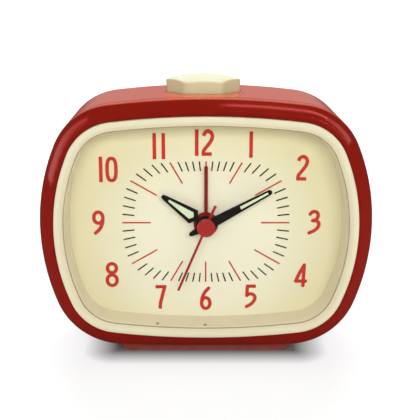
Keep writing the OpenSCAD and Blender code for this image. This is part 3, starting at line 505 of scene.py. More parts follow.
def make_piece(name: str, points: np.ndarray, faces: list[np.ndarray], edge: np.ndarray | None = None
               ) -> bpy.types.Object:
    """Puts a closed surface into a new object, smooth and facing outwards.

    The surface is turned round where its signed volume, the sum over its triangles of a . (b x c) / 6, is
    negative.

    Args:
        name: Name of the piece.
        points: Points in the CAD frame, in metres, as (n, 3).
        faces: Arrays of faces, each with one number of corners.
        edge: How much each point takes the wear and shade layer, on worn edges and in painted shade, from 0
            to 1.

    Returns:
        The object.
    """
    middle = points - points.mean(axis=0)
    volume = 0.0
    for face in faces:
        for k in range(1, face.shape[1] - 1):
            a, b, c = middle[face[:, 0]], middle[face[:, k]], middle[face[:, k + 1]]
            volume += np.einsum("ij,ij->", a, np.cross(b, c))
    turned = [face if volume > 0 else face[:, ::-1] for face in faces]
    corners = np.concatenate([face.ravel() for face in turned]).astype(np.int32)
    counts = np.concatenate([np.full(len(face), face.shape[1]) for face in turned])
    starts = np.concatenate([[0], np.cumsum(counts)[:-1]]).astype(np.int32)
    mesh = bpy.data.meshes.new(name)
    mesh.vertices.add(len(points))
    mesh.vertices.foreach_set("co", points.astype(np.float32).ravel())
    mesh.loops.add(len(corners))
    mesh.loops.foreach_set("vertex_index", corners)
    mesh.polygons.add(len(starts))
    mesh.polygons.foreach_set("loop_start", starts)
    mesh.update(calc_edges=True)
    mesh.shade_smooth()
    mesh.set_sharp_from_angle(angle=np.radians(SHARP_TURN))
    if edge is not None:
        mesh.attributes.new("edge", "FLOAT", "POINT").data.foreach_set("value", edge.astype(np.float32))
    piece = bpy.data.objects.new(name, mesh)
    bpy.context.scene.collection.objects.link(piece)
    LOG.info("piece %s: %d points, %d faces", name, len(points), len(starts))
    return piece


# Finishes


class Pattern(Enum):
    """How a finish's fine pattern runs over a surface."""

    EVEN = (1.0, 1.0, 1.0)
    BRUSHED = (0.06, 1.0, 1.0)
    TURNED = (1.0, 0.1, 1.0)
    WOUND = (3.0, 1.0, 0.15)


def linear(colour: Colour) -> tuple[float, float, float, float]:
    """Turns a colour as it shows on a screen into a shader's linear colour.

    Args:
        colour: Red, green and blue from 0 to 255.

    Returns:
        Red, green and blue from 0 to 1, and a full alpha.
    """
    share = np.array(colour) / 255.0
    value = np.where(share <= 0.04045, share / 12.92, ((share + 0.055) / 1.055) ** 2.4)
    return (*value.tolist(), 1.0)


def feed(tree: Tree, socket: Socket, value: object) -> None:
    """Links a socket to another one, or sets it to a value.

    Args:
        tree: The nodes that the socket belongs to.
        socket: The socket.
        value: The other socket, or the value.
    """
    if isinstance(value, Socket):
        tree.links.new(value, socket)
    else:
        socket.default_value = value


def add_maths(tree: Tree, kind: str, *values: object) -> Socket:
    """Adds a maths node.

    Args:
        tree: The nodes that it joins.
        kind: Its operation.
        values: A socket or a number for each of its inputs.

    Returns:
        Its result.
    """
    node = tree.nodes.new("ShaderNodeMath")
    node.operation = kind
    for socket, value in zip(node.inputs, values):
        feed(tree, socket, value)
    return node.outputs[0]


def add_ramp(tree: Tree, value: Socket, span: tuple[float, float], result: tuple[float, float] = (0.0, 1.0),
             smooth: bool = False) -> Socket:
    """Maps a value from a span to a result, held at both ends.

    Args:
        tree: The nodes that the ramp joins.
        value: The value.
        span: Where the ramp starts and ends.
        result: What it gives there.
        smooth: Whether it starts and ends softly.

    Returns:
        The mapped value.
    """
    node = tree.nodes.new("ShaderNodeMapRange")
    node.interpolation_type = "SMOOTHSTEP" if smooth else "LINEAR"
    labels = ("Value", "From Min", "From Max", "To Min", "To Max")
    for label, number in zip(labels, (value, *span, *result)):
        feed(tree, node.inputs[label], number)
    return node.outputs[0]


def mix_shaders(tree: Tree, share: Socket, first: bpy.types.Node, second: bpy.types.Node) -> bpy.types.Node:
    """Mixes two shaders.

    Args:
        tree: The nodes that the mix joins.
        share: The second shader's share.
        first: The first shader.
        second: The second shader.

    Returns:
        The mix.
    """
    node = tree.nodes.new("ShaderNodeMixShader")
    for socket, value in zip(node.inputs, (share, first.outputs[0], second.outputs[0])):
        feed(tree, socket, value)
    return node


def ray_kinds(tree: Tree) -> tuple[Socket, Socket]:
    """Tells which rays meet a surface or the world.

    Args:
        tree: The nodes of the material or the world.

    Returns:
        Whether the camera looks at it, straight or through the lens, and whether a glossy surface mirrors it.
    """
    path = tree.nodes.new("ShaderNodeLightPath")
    looking = add_maths(tree, "MAXIMUM", path.outputs["Is Camera Ray"], path.outputs["Is Transmission Ray"])
    return looking, path.outputs["Is Glossy Ray"]


@dataclass(frozen=True)
class Patches:
    """A noise's patches in a layer: their scale and detail, and the noise's swing over a least value."""

    scale: float
    detail: float
    swing: float
    least: float


class EffectGroups:
    """Shader node groups for the effects that several finishes share, each made once."""

    def __init__(self) -> None:
        """Makes the groups."""
        self.grain = self.make_grain()
        self.wear_and_shade = self.make_wear_and_shade()
        self.dust_and_top_light = self.make_dust_and_top_light()
        self.edge_shade = self.make_edge_shade()

    @staticmethod
    def start(name: str, inputs: dict[str, str], outputs: dict[str, str]) -> tuple:
        """Makes an empty group with named sockets.

        Args:
            name: Name of the group.
            inputs: Socket names and their kinds.
            outputs: Socket names and their kinds.

        Returns:
            The group, its input node and its output node.
        """
        group = bpy.data.node_groups.new(name, "ShaderNodeTree")
        for way, sockets in (("INPUT", inputs), ("OUTPUT", outputs)):
            for label, kind in sockets.items():
                group.interface.new_socket(label, in_out=way, socket_type=f"NodeSocket{kind}")
        return group, group.nodes.new("NodeGroupInput"), group.nodes.new("NodeGroupOutput")

    def start_layer(self, name: str, colour: str) -> tuple:
        """Makes an empty group for a layer, with a socket named for its colour, as start does."""
        outputs = {"Colour": "Color", "Roughness": "Float"}
        return self.start(name, {"Vector": "Vector", **outputs, colour: "Color", "Amount": "Float"}, outputs)

    @staticmethod
    def noise(group: Tree, vector: Socket, scale: object, detail: float) -> Socket:
        """Adds a noise to a group.

        Args:
            group: The group.
            vector: The place at which the noise is read.
            scale: Its scale, a socket or a number.
            detail: Its detail.

        Returns:
            Its value, from 0 to 1.
        """
        node = group.nodes.new("ShaderNodeTexNoise")
        for label, value in (("Vector", vector), ("Scale", scale), ("Detail", detail)):
            feed(group, node.inputs[label], value)
        return node.outputs[0]

    @staticmethod
    def blend(group: Tree, share: object, first: object, second: object, kind: str = "MIX") -> Socket:
        """Mixes two colours in a group.

        Args:
            group: The group.
            share: The second colour's share.
            first: The first colour.
            second: The second colour.
            kind: How the second colour is laid on.

        Returns:
            The mixed colour.
        """
        node = group.nodes.new("ShaderNodeMix")
        node.data_type = "RGBA"
        node.blend_type = kind
        for socket, value in zip((node.inputs[0], node.inputs[6], node.inputs[7]), (share, first, second)):
            feed(group, socket, value)
        return node.outputs[2]

    def end_layer(self, made: tuple, colour: str, where: Socket, patches: Patches, rougher: float) -> Tree:
        """Ends a layer's group: its share mixes its colour in and makes the surface rougher.

        The share is where the layer lies, times the patches, times the finish's amount, held from 0 to 1.

        Args:
            made: The group, its input node and its output node.
            colour: Socket name of the layer's colour.
            where: Where the layer lies, from 0 to 1.
            patches: Its patches.
            rougher: What a full layer adds to the roughness.

        Returns:
            The group.
        """
        group, given, result = made
        noise = self.noise(group, given.outputs["Vector"], patches.scale, patches.detail)
        thick = add_maths(group, "MULTIPLY_ADD", noise, patches.swing, patches.least)
        laid = add_maths(group, "MULTIPLY", where, thick)
        share = group.nodes.new("ShaderNodeClamp")
        feed(group, share.inputs["Value"], add_maths(group, "MULTIPLY", laid, given.outputs["Amount"]))
        mixed = self.blend(group, share.outputs[0], given.outputs["Colour"], given.outputs[colour])
        rough = add_maths(group, "MULTIPLY_ADD", share.outputs[0], rougher, given.outputs["Roughness"])
        feed(group, result.inputs["Colour"], mixed)
        feed(group, result.inputs["Roughness"], rough)
        return group

    def make_grain(self) -> Tree:
        """Makes the group for a material's own grain.

        A broad noise lightens and darkens the colour, a fine one changes the roughness and gives a height.

        Returns:
            The group.
        """
        group, given, result = self.start(
            "material_grain",
            {"Vector": "Vector", "Colour": "Color", "Variation": "Float", "Mottle Scale": "Float",
             "Grain Scale": "Float", "Roughness": "Float", "Roughness Spread": "Float"},
            {"Colour": "Color", "Roughness": "Float", "Height": "Float"})
        ins = given.outputs
        broad = self.noise(group, ins["Vector"], ins["Mottle Scale"], detail=3.0)
        fine = self.noise(group, ins["Vector"], ins["Grain Scale"], detail=2.0)
        swing = add_maths(group, "MULTIPLY", add_maths(group, "SUBTRACT", broad, 0.5), 2.0)
        light = add_maths(group, "MULTIPLY_ADD", swing, ins["Variation"], 1.0)
        drift = add_maths(group, "SUBTRACT", add_maths(group, "ADD", broad, fine), 1.0)
        rough = add_maths(group, "MULTIPLY_ADD", drift, ins["Roughness Spread"], ins["Roughness"])
        least_rough = 0.03
        feed(group, result.inputs["Colour"], self.blend(group, 1.0, ins["Colour"], light, "MULTIPLY"))
        feed(group, result.inputs["Roughness"], add_maths(group, "MAXIMUM", rough, least_rough))
        feed(group, result.inputs["Height"], fine)
        return group

    def make_wear_and_shade(self) -> Tree:
        """Makes the group for worn edges and painted shade, which lie where the edge attribute is high.

        Returns:
            The group.
        """
        made = self.start_layer("edge_wear_and_painted_shade", "Wear And Shade Colour")
        edge = made[0].nodes.new("ShaderNodeAttribute")
        edge.attribute_name = "edge"
        patches = Patches(scale=260.0, detail=4.0, swing=2.0, least=-0.6)
        return self.end_layer(made, "Wear And Shade Colour", edge.outputs["Fac"], patches, rougher=0.12)

    def make_dust_and_top_light(self) -> Tree:
        """Makes the group for dust and painted top light: a pale film where a surface faces up and not
        forward.

        A full film paints the light and the reflection that a top catches. How far it faces up is the
        normal's height, less nine tenths of how far it looks to the front.

        Returns:
            The group.
        """
        made = self.start_layer("dust_and_painted_top_light", "Film Colour")
        group = made[0]
        facing = group.nodes.new("ShaderNodeNewGeometry")
        parts = group.nodes.new("ShaderNodeSeparateXYZ")
        feed(group, parts.inputs[0], facing.outputs["Normal"])
        ahead = add_maths(group, "MINIMUM", parts.outputs["Y"], 0.0)
        height = add_maths(group, "MULTIPLY_ADD", ahead, 0.9, parts.outputs["Z"])
        upward = add_ramp(group, height, span=(0.25, 0.8), smooth=True)
        patches = Patches(scale=900.0, detail=5.0, swing=0.5, least=0.75)
        return self.end_layer(made, "Film Colour", upward, patches, rougher=0.12)

    def make_edge_shade(self) -> Tree:
        """Makes the group for painted shade that darkens and yellows the dial from its rim inwards.

        It grows with the distance from a middle, measured in units of an oval's half sizes, in metres here.

        Returns:
            The group.
        """
        made = self.start_layer("painted_rim_shade", "Shade Colour")
        group, given, _ = made
        oval = group.nodes.new("ShaderNodeMapping")
        oval.vector_type = "TEXTURE"
        oval.inputs["Location"].default_value = (0.0, 0.0, 0.04)
        oval.inputs["Scale"].default_value = (0.05, 1.0, 0.05)
        feed(group, oval.inputs["Vector"], given.outputs["Vector"])
        away = group.nodes.new("ShaderNodeVectorMath")
        away.operation = "LENGTH"
        feed(group, away.inputs[0], oval.outputs[0])
        rim = add_ramp(group, away.outputs["Value"], span=(0.35, 1.0), smooth=True)
        patches = Patches(scale=60.0, detail=3.0, swing=0.4, least=0.8)
        return self.end_layer(made, "Shade Colour", rim, patches, rougher=0.0)


@dataclass(frozen=True)
class Finish:
    """A material of the clock: its colour, gloss and fine detail."""

    name: str
    colour: Colour
    roughness: float
    metallic: float = 0.0
    specular: float = 0.5
    tint: Colour = (255, 255, 255)
    pattern: Pattern = Pattern.EVEN
    variation: float = 0.05
    mottle: float = 14.0
    grain: float = 0.35
    roughness_spread: float = 0.06
    relief: float = 0.004
    wear_and_shade_colour: Colour = (200, 190, 175)
    wear_and_shade: float = 0.0
    film: Colour = (205, 196, 184)
    dust_and_top_light: float = 0.0
    edge_shade_colour: Colour = (214, 203, 150)
    age: float = 0.0
    clear: bool = False

    def material(self, groups: EffectGroups) -> bpy.types.Material:
        """Builds the material: grain, then painted rim shade, dust and painted top light, and wear and
        painted shade, into one Principled shader.

        Args:
            groups: The shared effects.

        Returns:
            The material.
        """
        made = bpy.data.materials.new(self.name)
        made.use_nodes = True
        tree = made.node_tree
        shader = tree.nodes["Principled BSDF"]
        place = tree.nodes.new("ShaderNodeTexCoord").outputs["Object"]
        stretch = tree.nodes.new("ShaderNodeMapping")
        stretch.inputs["Scale"].default_value = self.pattern.value
        feed(tree, stretch.inputs["Vector"], place)
        last = grain = self.placed(tree, groups.grain, {
            "Vector": stretch.outputs[0], "Colour": linear(self.colour), "Variation": self.variation,
            "Mottle Scale": 1.0 / (self.mottle * MM), "Grain Scale": 1.0 / (self.grain * MM),
            "Roughness": self.roughness, "Roughness Spread": self.roughness_spread})
        bump = tree.nodes.new("ShaderNodeBump")
        bump.inputs["Distance"].default_value = self.relief * MM
        feed(tree, bump.inputs["Height"], grain.outputs["Height"])
        for group, amount, label, colour in ((groups.edge_shade, self.age, "Shade Colour", self.edge_shade_colour),
                                             (groups.dust_and_top_light, self.dust_and_top_light, "Film Colour", self.film),
                                             (groups.wear_and_shade, self.wear_and_shade, "Wear And Shade Colour", self.wear_and_shade_colour)):
            if amount > 0:
                last = self.placed(tree, group, {
                    "Vector": place, "Colour": last.outputs["Colour"], "Roughness": last.outputs["Roughness"],
                    label: linear(colour), "Amount": amount})
        looks = {
            "Base Color": last.outputs["Colour"], "Roughness": last.outputs["Roughness"],
            "Normal": bump.outputs[0], "Metallic": self.metallic, "Specular IOR Level": self.specular,
            "Specular Tint": linear(self.tint)}
        for label, value in looks.items():
            feed(tree, shader.inputs[label], value)
        if self.clear:
            self.let_light_through(tree, shader)
        return made

    @staticmethod
    def placed(tree: Tree, group: Tree, values: dict[str, object]) -> bpy.types.Node:
        """Places a group in a material.

        Args:
            tree: The material's nodes.
            group: The group.
            values: A socket or a value for each of the group's inputs that is set.

        Returns:
            The group's node.
        """
        node = tree.nodes.new("ShaderNodeGroup")
        node.node_tree = group
        for label, value in values.items():
            feed(tree, node.inputs[label], value)
        return node

    @staticmethod
    def let_light_through(tree: Tree, shader: bpy.types.Node) -> None:
        """Makes the shader clear plastic to the eye, and open to the light that falls on what is behind it.

        Args:
            tree: The material's nodes.
            shader: Its Principled shader.
        """
        shader.inputs["Transmission Weight"].default_value = 1.0
        shader.inputs["IOR"].default_value = 1.49
        through = tree.nodes.new("ShaderNodeBsdfTransparent")
        looking, _ = ray_kinds(tree)
        either = mix_shaders(tree, looking, through, shader)
        feed(tree, tree.nodes["Material Output"].inputs["Surface"], either.outputs[0])


class Finishes:
    """The clock's finishes, and the materials made from them."""

    # Its film paints the light and the reflection that the case's top catches; its wear paints shade towards
    # the bezel and along the parting groove
    case_red = Finish("case_red_plastic", (134, 27, 18), 0.11, specular=0.4, tint=(255, 72, 60), mottle=30.0,
                      grain=1.6, relief=0.002, roughness_spread=0.04, wear_and_shade_colour=(92, 14, 8), wear_and_shade=1.6,
                      film=(252, 106, 68), dust_and_top_light=0.53)
    cream = Finish("cream_plastic", (223, 215, 184), 0.34, variation=0.02, grain=0.5, relief=0.003,
                   wear_and_shade_colour=(225, 210, 172), wear_and_shade=0.3, dust_and_top_light=0.03)
    # A lighter copy of the cream plastic: painted light that makes up for the shade in the recess round the
    # dial
    lightened_wall_cream = Finish("cream_wall_plastic_lightened", (238, 228, 200), 0.5, variation=0.02, grain=0.4)
    seal_tan = Finish("lens_seal_tan", (166, 144, 100), 0.55, variation=0.12, mottle=3.0, grain=0.3,
                      relief=0.01)
    catch_tan = Finish("wall_catch_tan", (176, 158, 122), 0.5, variation=0.1, mottle=1.0, grain=0.2)
    # Its film paints the light that the button's top catches
    button_cream = Finish("button_plastic", (213, 209, 166), 0.42, variation=0.02, wear_and_shade_colour=(188, 172, 130),
                          wear_and_shade=0.35, film=(246, 241, 222), dust_and_top_light=0.55)
    # The yellowing towards its rim is painted shade from the wall round the dial
    dial_paint = Finish("dial_paint", (240, 236, 211), 0.6, specular=0.2, variation=0.02, mottle=22.0,
                        grain=0.22, relief=0.003, age=0.6)
    print_red = Finish("print_red", (197, 52, 33), 0.5, specular=0.2, variation=0.06, mottle=5.0, grain=0.15,
                       relief=0.002)
    print_black = Finish("print_black", (36, 27, 10), 0.5, specular=0.1, variation=0.08, mottle=4.0,
                         grain=0.15, relief=0.002)
    hand_black = Finish("hand_black_paint", (22, 18, 14), 0.5, specular=0.1, variation=0.1, mottle=6.0,
                        grain=0.2, relief=0.002)
    alarm_red = Finish("alarm_hand_red_paint", (140, 18, 14), 0.45, specular=0.15, variation=0.06, mottle=6.0,
                       grain=0.2, relief=0.002)
    second_red = Finish("second_hand_red_paint", (164, 28, 23), 0.45, specular=0.2, variation=0.06,
                        mottle=6.0, grain=0.2, relief=0.002)
    cap_red = Finish("cap_red_plastic", (168, 36, 30), 0.34, specular=0.3, grain=0.3, relief=0.003,
                     wear_and_shade_colour=(205, 90, 80), wear_and_shade=0.4)
    lume = Finish("lume_paste", (216, 230, 194), 0.75, variation=0.07, mottle=1.6, grain=0.12, relief=0.01)
    lens_clear = Finish("lens_clear_plastic", (252, 252, 248), 0.04, specular=0.25, variation=0.004,
                        grain=18.0, relief=0.0004, roughness_spread=0.01, clear=True)
    foot_red = Finish("foot_rubber", (130, 61, 50), 0.68, specular=0.3, variation=0.08, mottle=9.0, grain=0.3,
                      relief=0.02, wear_and_shade_colour=(140, 92, 80), wear_and_shade=0.6, dust_and_top_light=0.05)
    housing = Finish("housing_black_plastic", (38, 37, 37), 0.45, variation=0.1, grain=0.3, relief=0.015)
    knob_black = Finish("knob_black_plastic", (42, 39, 38), 0.4, variation=0.1, grain=0.25, relief=0.008,
                        wear_and_shade_colour=(92, 88, 84), wear_and_shade=0.5, dust_and_top_light=0.03)
    nylon = Finish("gear_nylon", (236, 234, 224), 0.45, variation=0.04, grain=0.3, relief=0.006)
    brass = Finish("brass", (214, 176, 98), 0.28, metallic=1.0, pattern=Pattern.TURNED, variation=0.08,
                   grain=0.12, relief=0.003, roughness_spread=0.15)
    steel = Finish("steel", (190, 192, 196), 0.3, metallic=1.0, pattern=Pattern.BRUSHED, variation=0.08,
                   grain=0.12, relief=0.003, roughness_spread=0.18)
    copper = Finish("copper_winding", (190, 106, 56), 0.35, metallic=1.0, pattern=Pattern.WOUND,
                    variation=0.2, mottle=0.5, grain=0.12, relief=0.05, roughness_spread=0.15)
    board = Finish("board_green", (40, 92, 60), 0.4, variation=0.12, mottle=2.0, grain=0.25, relief=0.01)
    sleeve = Finish("battery_sleeve", (46, 58, 74), 0.28, variation=0.06, grain=0.4)

    def __init__(self, groups: EffectGroups) -> None:
        """Keeps the shared effects.

        Args:
            groups: The effect groups that the materials use.
        """
        self.groups = groups
        self.made: dict[str, bpy.types.Material] = {}

    def get(self, finish: Finish) -> bpy.types.Material:
        """Gives a finish's material, made on its first use.

        Args:
            finish: The finish.

        Returns:
            The material.
        """
        if finish.name not in self.made:
            self.made[finish.name] = finish.material(self.groups)
        return self.made[finish.name]

    def dress(self, piece: bpy.types.Object, finish: Finish) -> None:
        """Puts a finish on an object.

        Args:
            piece: A piece, or a CAD node's object.
            finish: The finish.
        """
        material = self.get(finish)
        if not piece.material_slots:
            piece.data.materials.append(material)
        for slot in piece.material_slots:
            slot.material = material


# Sub-assemblies


@dataclass
class Workshop:
    """What every sub-assembly is built with."""

    frame: dict
    finishes: Finishes
    place: Place
    outline: Outline
    case_outline: FlaredOutline

    def add(self, name: str, surface: Surface, finish: Finish, body: str, slot: str,
            replaces: tuple[str, ...] = (), edge: np.ndarray | None = None) -> bpy.types.Object:
        """Makes a piece from a surface about the dial's centre and fits it to the model.

        Args:
            name: Name of the piece.
            surface: Points from the dial's centre, and faces.
            finish: Its finish.
            body: The CAD body that it rides on.
            slot: The record's material slot that it belongs to; not used.
            replaces: CAD nodes that it stands for.
            edge: How much each point takes the wear and shade layer, on worn edges and in painted shade.

        Returns:
            The piece.
        """
        points, faces = surface
        piece = make_piece(name, self.place.to_frame(points), faces, edge)
        self.finishes.dress(piece, finish)
        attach(piece, body)
        if replaces:
            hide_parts(*replaces)
        return piece

    def dress_nodes(self, finish: Finish, *nodes: str) -> None:
        """Gives CAD nodes that stay in view a finish."""
        for node in nodes:
            self.finishes.dress(self.frame["nodes"][node], finish)

    def node_box(self, node: str) -> tuple[np.ndarray, np.ndarray]:
        """A CAD node's lowest and highest corner from the dial's centre."""
        low, high = (np.array(corner) / MM - self.place.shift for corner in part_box(node))
        return low, high


@dataclass
class ButtonForm:
    """The snooze button's six-sided plan and its crown."""

    middle_x: float
    middle_y: float
    width: float
    depth: float
    top_z: float
    flat: float = 11.6
    edge_r: float = 1.2
    end_r: float = 3.0
    front_drop: float = 2.2
    end_drop: float = 1.95

    def plan(self, slip: float = 0.0, spans: int = 6) -> np.ndarray:
        """The button's outline, grown by a slip.

        A straight side touches the arc at the end of the flat front and the arc at the button's end. Its line
        is carried on to the flat and to the long axis, which gives the corners to round.

        Args:
            slip: How much wider the outline is on each side.
            spans: Pieces of each straight run.

        Returns:
            Points about the button's middle, as (n, 2).
        """
        edge = np.array([self.flat / 2, self.depth / 2 - self.edge_r])
        end = np.array([self.width / 2 - self.end_r, 0.0])
        across = end - edge
        lean = np.arccos((self.edge_r - self.end_r) / np.linalg.norm(across))
        turn = np.arctan2(across[1], across[0]) + lean
        way = np.array([np.cos(turn), np.sin(turn)])
        reach = end @ way + self.end_r
        shoulder = np.array([(reach - self.depth / 2 * way[1]) / way[0], self.depth / 2])
        tip = np.array([reach / way[0], 0.0])
        tip_cut = 2 * (tip[0] - self.width / 2) / way[1]
        edge_cut = CURVE_REACH * self.edge_r
        flips = np.array([[1, 1], [1, 0], [1, -1], [-1, -1], [-1, 0], [-1, 1]])
        corners = np.array([shoulder, tip, shoulder, shoulder, tip, shoulder]) * flips
        cuts = np.array([edge_cut, tip_cut, edge_cut] * 2)
        plan = rounded(corners, cuts, steps=8, hold=0.15, spans=dict.fromkeys(range(6), spans))
        return plan * np.array([1 + 2 * slip / self.width, 1 + 2 * slip / self.depth])

    def crown(self, plan: np.ndarray) -> np.ndarray:
        """Height of the crown over points of the plan, from the dial's centre.

        The crown is the outer curve of a ring: an arc of the short radius front to back, carried along an arc
        of the long radius from end to end.

        Args:
            plan: Points about the button's middle, as (..., 2).

        Returns:
            The heights.
        """
        long_r = ((self.width / 2) ** 2 + self.end_drop**2) / (2 * self.end_drop)
        short_r = ((self.depth / 2) ** 2 + self.front_drop**2) / (2 * self.front_drop)
        arch = long_r - short_r + np.sqrt(short_r**2 - plan[..., 1] ** 2)
        return self.top_z - long_r + np.sqrt(arch**2 - plan[..., 0] ** 2)


@dataclass
class CaseShell:
    """The red case: skins over the rim and the body, whose arcs are true where the solids have facets.

    The skins stand proud of the solids. The spans divide the body's long runs and the opening's sides. The
    window that the button's opening is fitted into has that many columns to each side of the middle.
    """

    shop: Workshop
    button: ButtonForm
    depth: float
    rim_rise: float
    proud: float = 0.015
    groove: float = 0.3
    part_y: float = -1.5
    rim_w: float = RIM_W
    back_edge: float = 2.5
    back_return: float = 3.4
    inside: float = 1.0
    spans: int = 24
    window: int = 14
    slip: float = 0.3
    chamfer: float = 0.3

    def build(self) -> None:
        """Builds both skins and paints the solids under them."""
        self.build_rim()
        self.build_body()
        self.shop.dress_nodes(Finishes.case_red, "front_frame", "rear_shell")

    def build_rim(self) -> None:
        """Sweeps the rim's section: a band, a bowed slope to the front edge and a return inside the solid.

        Painted shade darkens the slope towards the bezel and along the parting groove, by the square of the
        nearness.
        """
        out = self.proud
        front = -self.rim_rise
        corners = np.array([
            [self.groove - out, self.part_y], [-out, self.part_y - self.groove], [-out, front + 4.75],
            [2.35, front + 1.98], [self.rim_w - 0.2, front - 0.1], [self.rim_w - out, front + 0.6],
            [self.rim_w - out, front + 1.6], [3.2, front + 3.0], [1.0, front + 5.6],
            [0.9, self.part_y - 0.6]])
        cuts = np.array([0.05, 0.12, 1.0, 1.75, 0.45, 0.1, 0.05, 0.05, 0.05, 0.05])
        profile = rounded(corners, cuts, steps=10)
        # Painted shade: darker towards the bezel and along the parting groove
        bezel_shade = nearness(profile, (self.rim_w, front + 0.2), reach=1.8) ** 2
        groove_shade = nearness(profile, (0.0, self.part_y), reach=1.0) ** 2
        outline = self.shop.case_outline
        self.shop.add("rim_skin", swept(outline, profile), Finishes.case_red, "case", "case_red",
                      edge=np.repeat(np.maximum(bezel_shade, groove_shade), outline.count))

    def body_profile(self) -> tuple[np.ndarray, np.ndarray]:
        """The body's section: outside from the parting groove to the back, and a return inside the wall.

        Returns:
            The section's points, and the numbers of the points where the outer run starts and ends, then the
            inner run.
        """
        out, back = -self.proud, self.depth + self.proud
        corners = np.array([
            [self.groove - self.proud, self.part_y], [out, self.part_y + self.groove], [out, back],
            [self.back_return, back], [self.back_return, back - 0.9], [self.inside, back - 2.6],
            [self.inside, self.part_y + 1.0]])
        cuts = np.array([0.05, 0.12, self.back_edge, 0.1, 0.1, 0.3, 0.1])
        steps = 8
        profile = rounded(corners, cuts, steps=steps, spans={1: self.spans, 5: self.spans})
        # A corner has its curve's points and one before and after them. A long run starts at its corner's
        # last point, and the outer run's own points, one fewer than its spans, lie before the inner run
        per_corner = steps + 3
        outer_start = 2 * per_corner - 1
        inner_start = 6 * per_corner - 1 + self.spans - 1
        starts = np.array([outer_start, inner_start])
        return profile, np.stack([starts, starts + self.spans], axis=1).ravel()

    def build_body(self) -> None:
        """Sweeps the body's section, and fits the button's opening into its top.

        A window is cut from the sweep's top, outside and inside. Each window is filled by rows that go in a
        straight blend from the window's edge to the opening's, on the bow of the top; a chamfer and a wall
        join the two openings.
        """
        outline = self.shop.case_outline
        profile, marks = self.body_profile()
        points, (quads,) = swept(outline, profile)
        cols = outline.count
        grid = np.arange(len(points)).reshape(len(profile), cols)
        side = np.arange(-self.window, self.window + 1) % cols
        gone = np.zeros(len(quads), bool)
        for first, last in (marks[:2], marks[2:]):
            gone |= np.isin(np.arange(len(quads)).reshape(len(profile), cols),
                            (np.arange(first, last)[:, None] * cols + side[None, :-1]).ravel()).ravel()
        outer = self.window_edge(grid[marks[0]:marks[1] + 1][:, side])
        inner = self.window_edge(grid[marks[2]:marks[3] + 1][:, side][::-1])
        hole = self.opening(points[outer][:, :2], self.slip)
        lip = self.opening(points[outer][:, :2], self.slip + self.chamfer)
        out = -self.proud
        rows = [
            (hole + (points[inner][:, :2] - hole) * 0.5, self.inside, 0.0), (hole, self.inside, 0.0),
            (hole, out, self.chamfer), (lip, out, 0.0)]
        rows += [(lip + (points[outer][:, :2] - lip) * share, out, 0.0) for share in (0.2, 0.45, 0.72)]
        new = np.stack([np.column_stack([plan, outline.height(plan[:, 0], inset, 1) - drop])
                        for plan, inset, drop in rows])
        count = len(outer)
        fresh = len(points) + np.arange(len(rows) * count).reshape(len(rows), count)
        ladder = np.vstack([inner, fresh, outer])
        here, below = ladder[:-1], ladder[1:]
        patch = np.stack([here, np.roll(here, -1, axis=1), np.roll(below, -1, axis=1), below], axis=-1)
        way = quads[~gone]
        surface = np.vstack([points, new.reshape(-1, 3)]), [way, self.same_turn(way, patch.reshape(-1, 4))]
        # Painted shade: darker along the parting groove
        groove_shade = nearness(profile, (0.0, self.part_y), reach=1.0) ** 2
        edge = np.concatenate([np.repeat(groove_shade, cols), np.zeros(len(rows) * count)])
        self.shop.add("body_skin", surface, Finishes.case_red, "case", "case_red", edge=edge)

    @staticmethod
    def same_turn(quads: np.ndarray, patch: np.ndarray) -> np.ndarray:
        """Turns a patch's faces the way of the faces that it joins: a shared side runs opposite in the two.

        Args:
            quads: The faces that are there.
            patch: The patch's faces.

        Returns:
            The patch's faces, turned where that is needed.
        """
        # The patch has the newest points, so its highest point number is the highest of all
        past_all = int(patch.max()) + 1

        def sides(faces: np.ndarray) -> np.ndarray:
            """The directed sides of faces, each as one number."""
            return (faces.astype(np.int64) * past_all + np.roll(faces, -1, axis=1)).ravel()

        clash = np.isin(sides(patch), sides(quads)).any()
        return patch[:, ::-1] if clash else patch

    @staticmethod
    def window_edge(block: np.ndarray) -> np.ndarray:
        """The point numbers round a block of the grid, in order."""
        return np.concatenate([block[0, :-1], block[:-1, -1], block[-1, :0:-1], block[:0:-1, 0]])

    def opening(self, edge: np.ndarray, slip: float) -> np.ndarray:
        """Points of the button's opening in the directions of a window's edge.

        Args:
            edge: The window's edge in plan, as (n, 2).
            slip: Room between the button and the opening.

        Returns:
            The opening's points in plan, as (n, 2).
        """
        middle = np.array([self.button.middle_x, self.button.middle_y])
        plan = self.button.plan(slip, spans=self.spans)
        angle = np.arctan2(plan[:, 1], plan[:, 0])
        order = np.argsort(angle)
        toward = edge - middle
        bearing = np.arctan2(toward[:, 1], toward[:, 0])
        reach = np.interp(bearing, angle[order], np.hypot(plan[order, 0], plan[order, 1]), period=2 * np.pi)
        return middle + reach[:, None] * np.column_stack([np.cos(bearing), np.sin(bearing)])


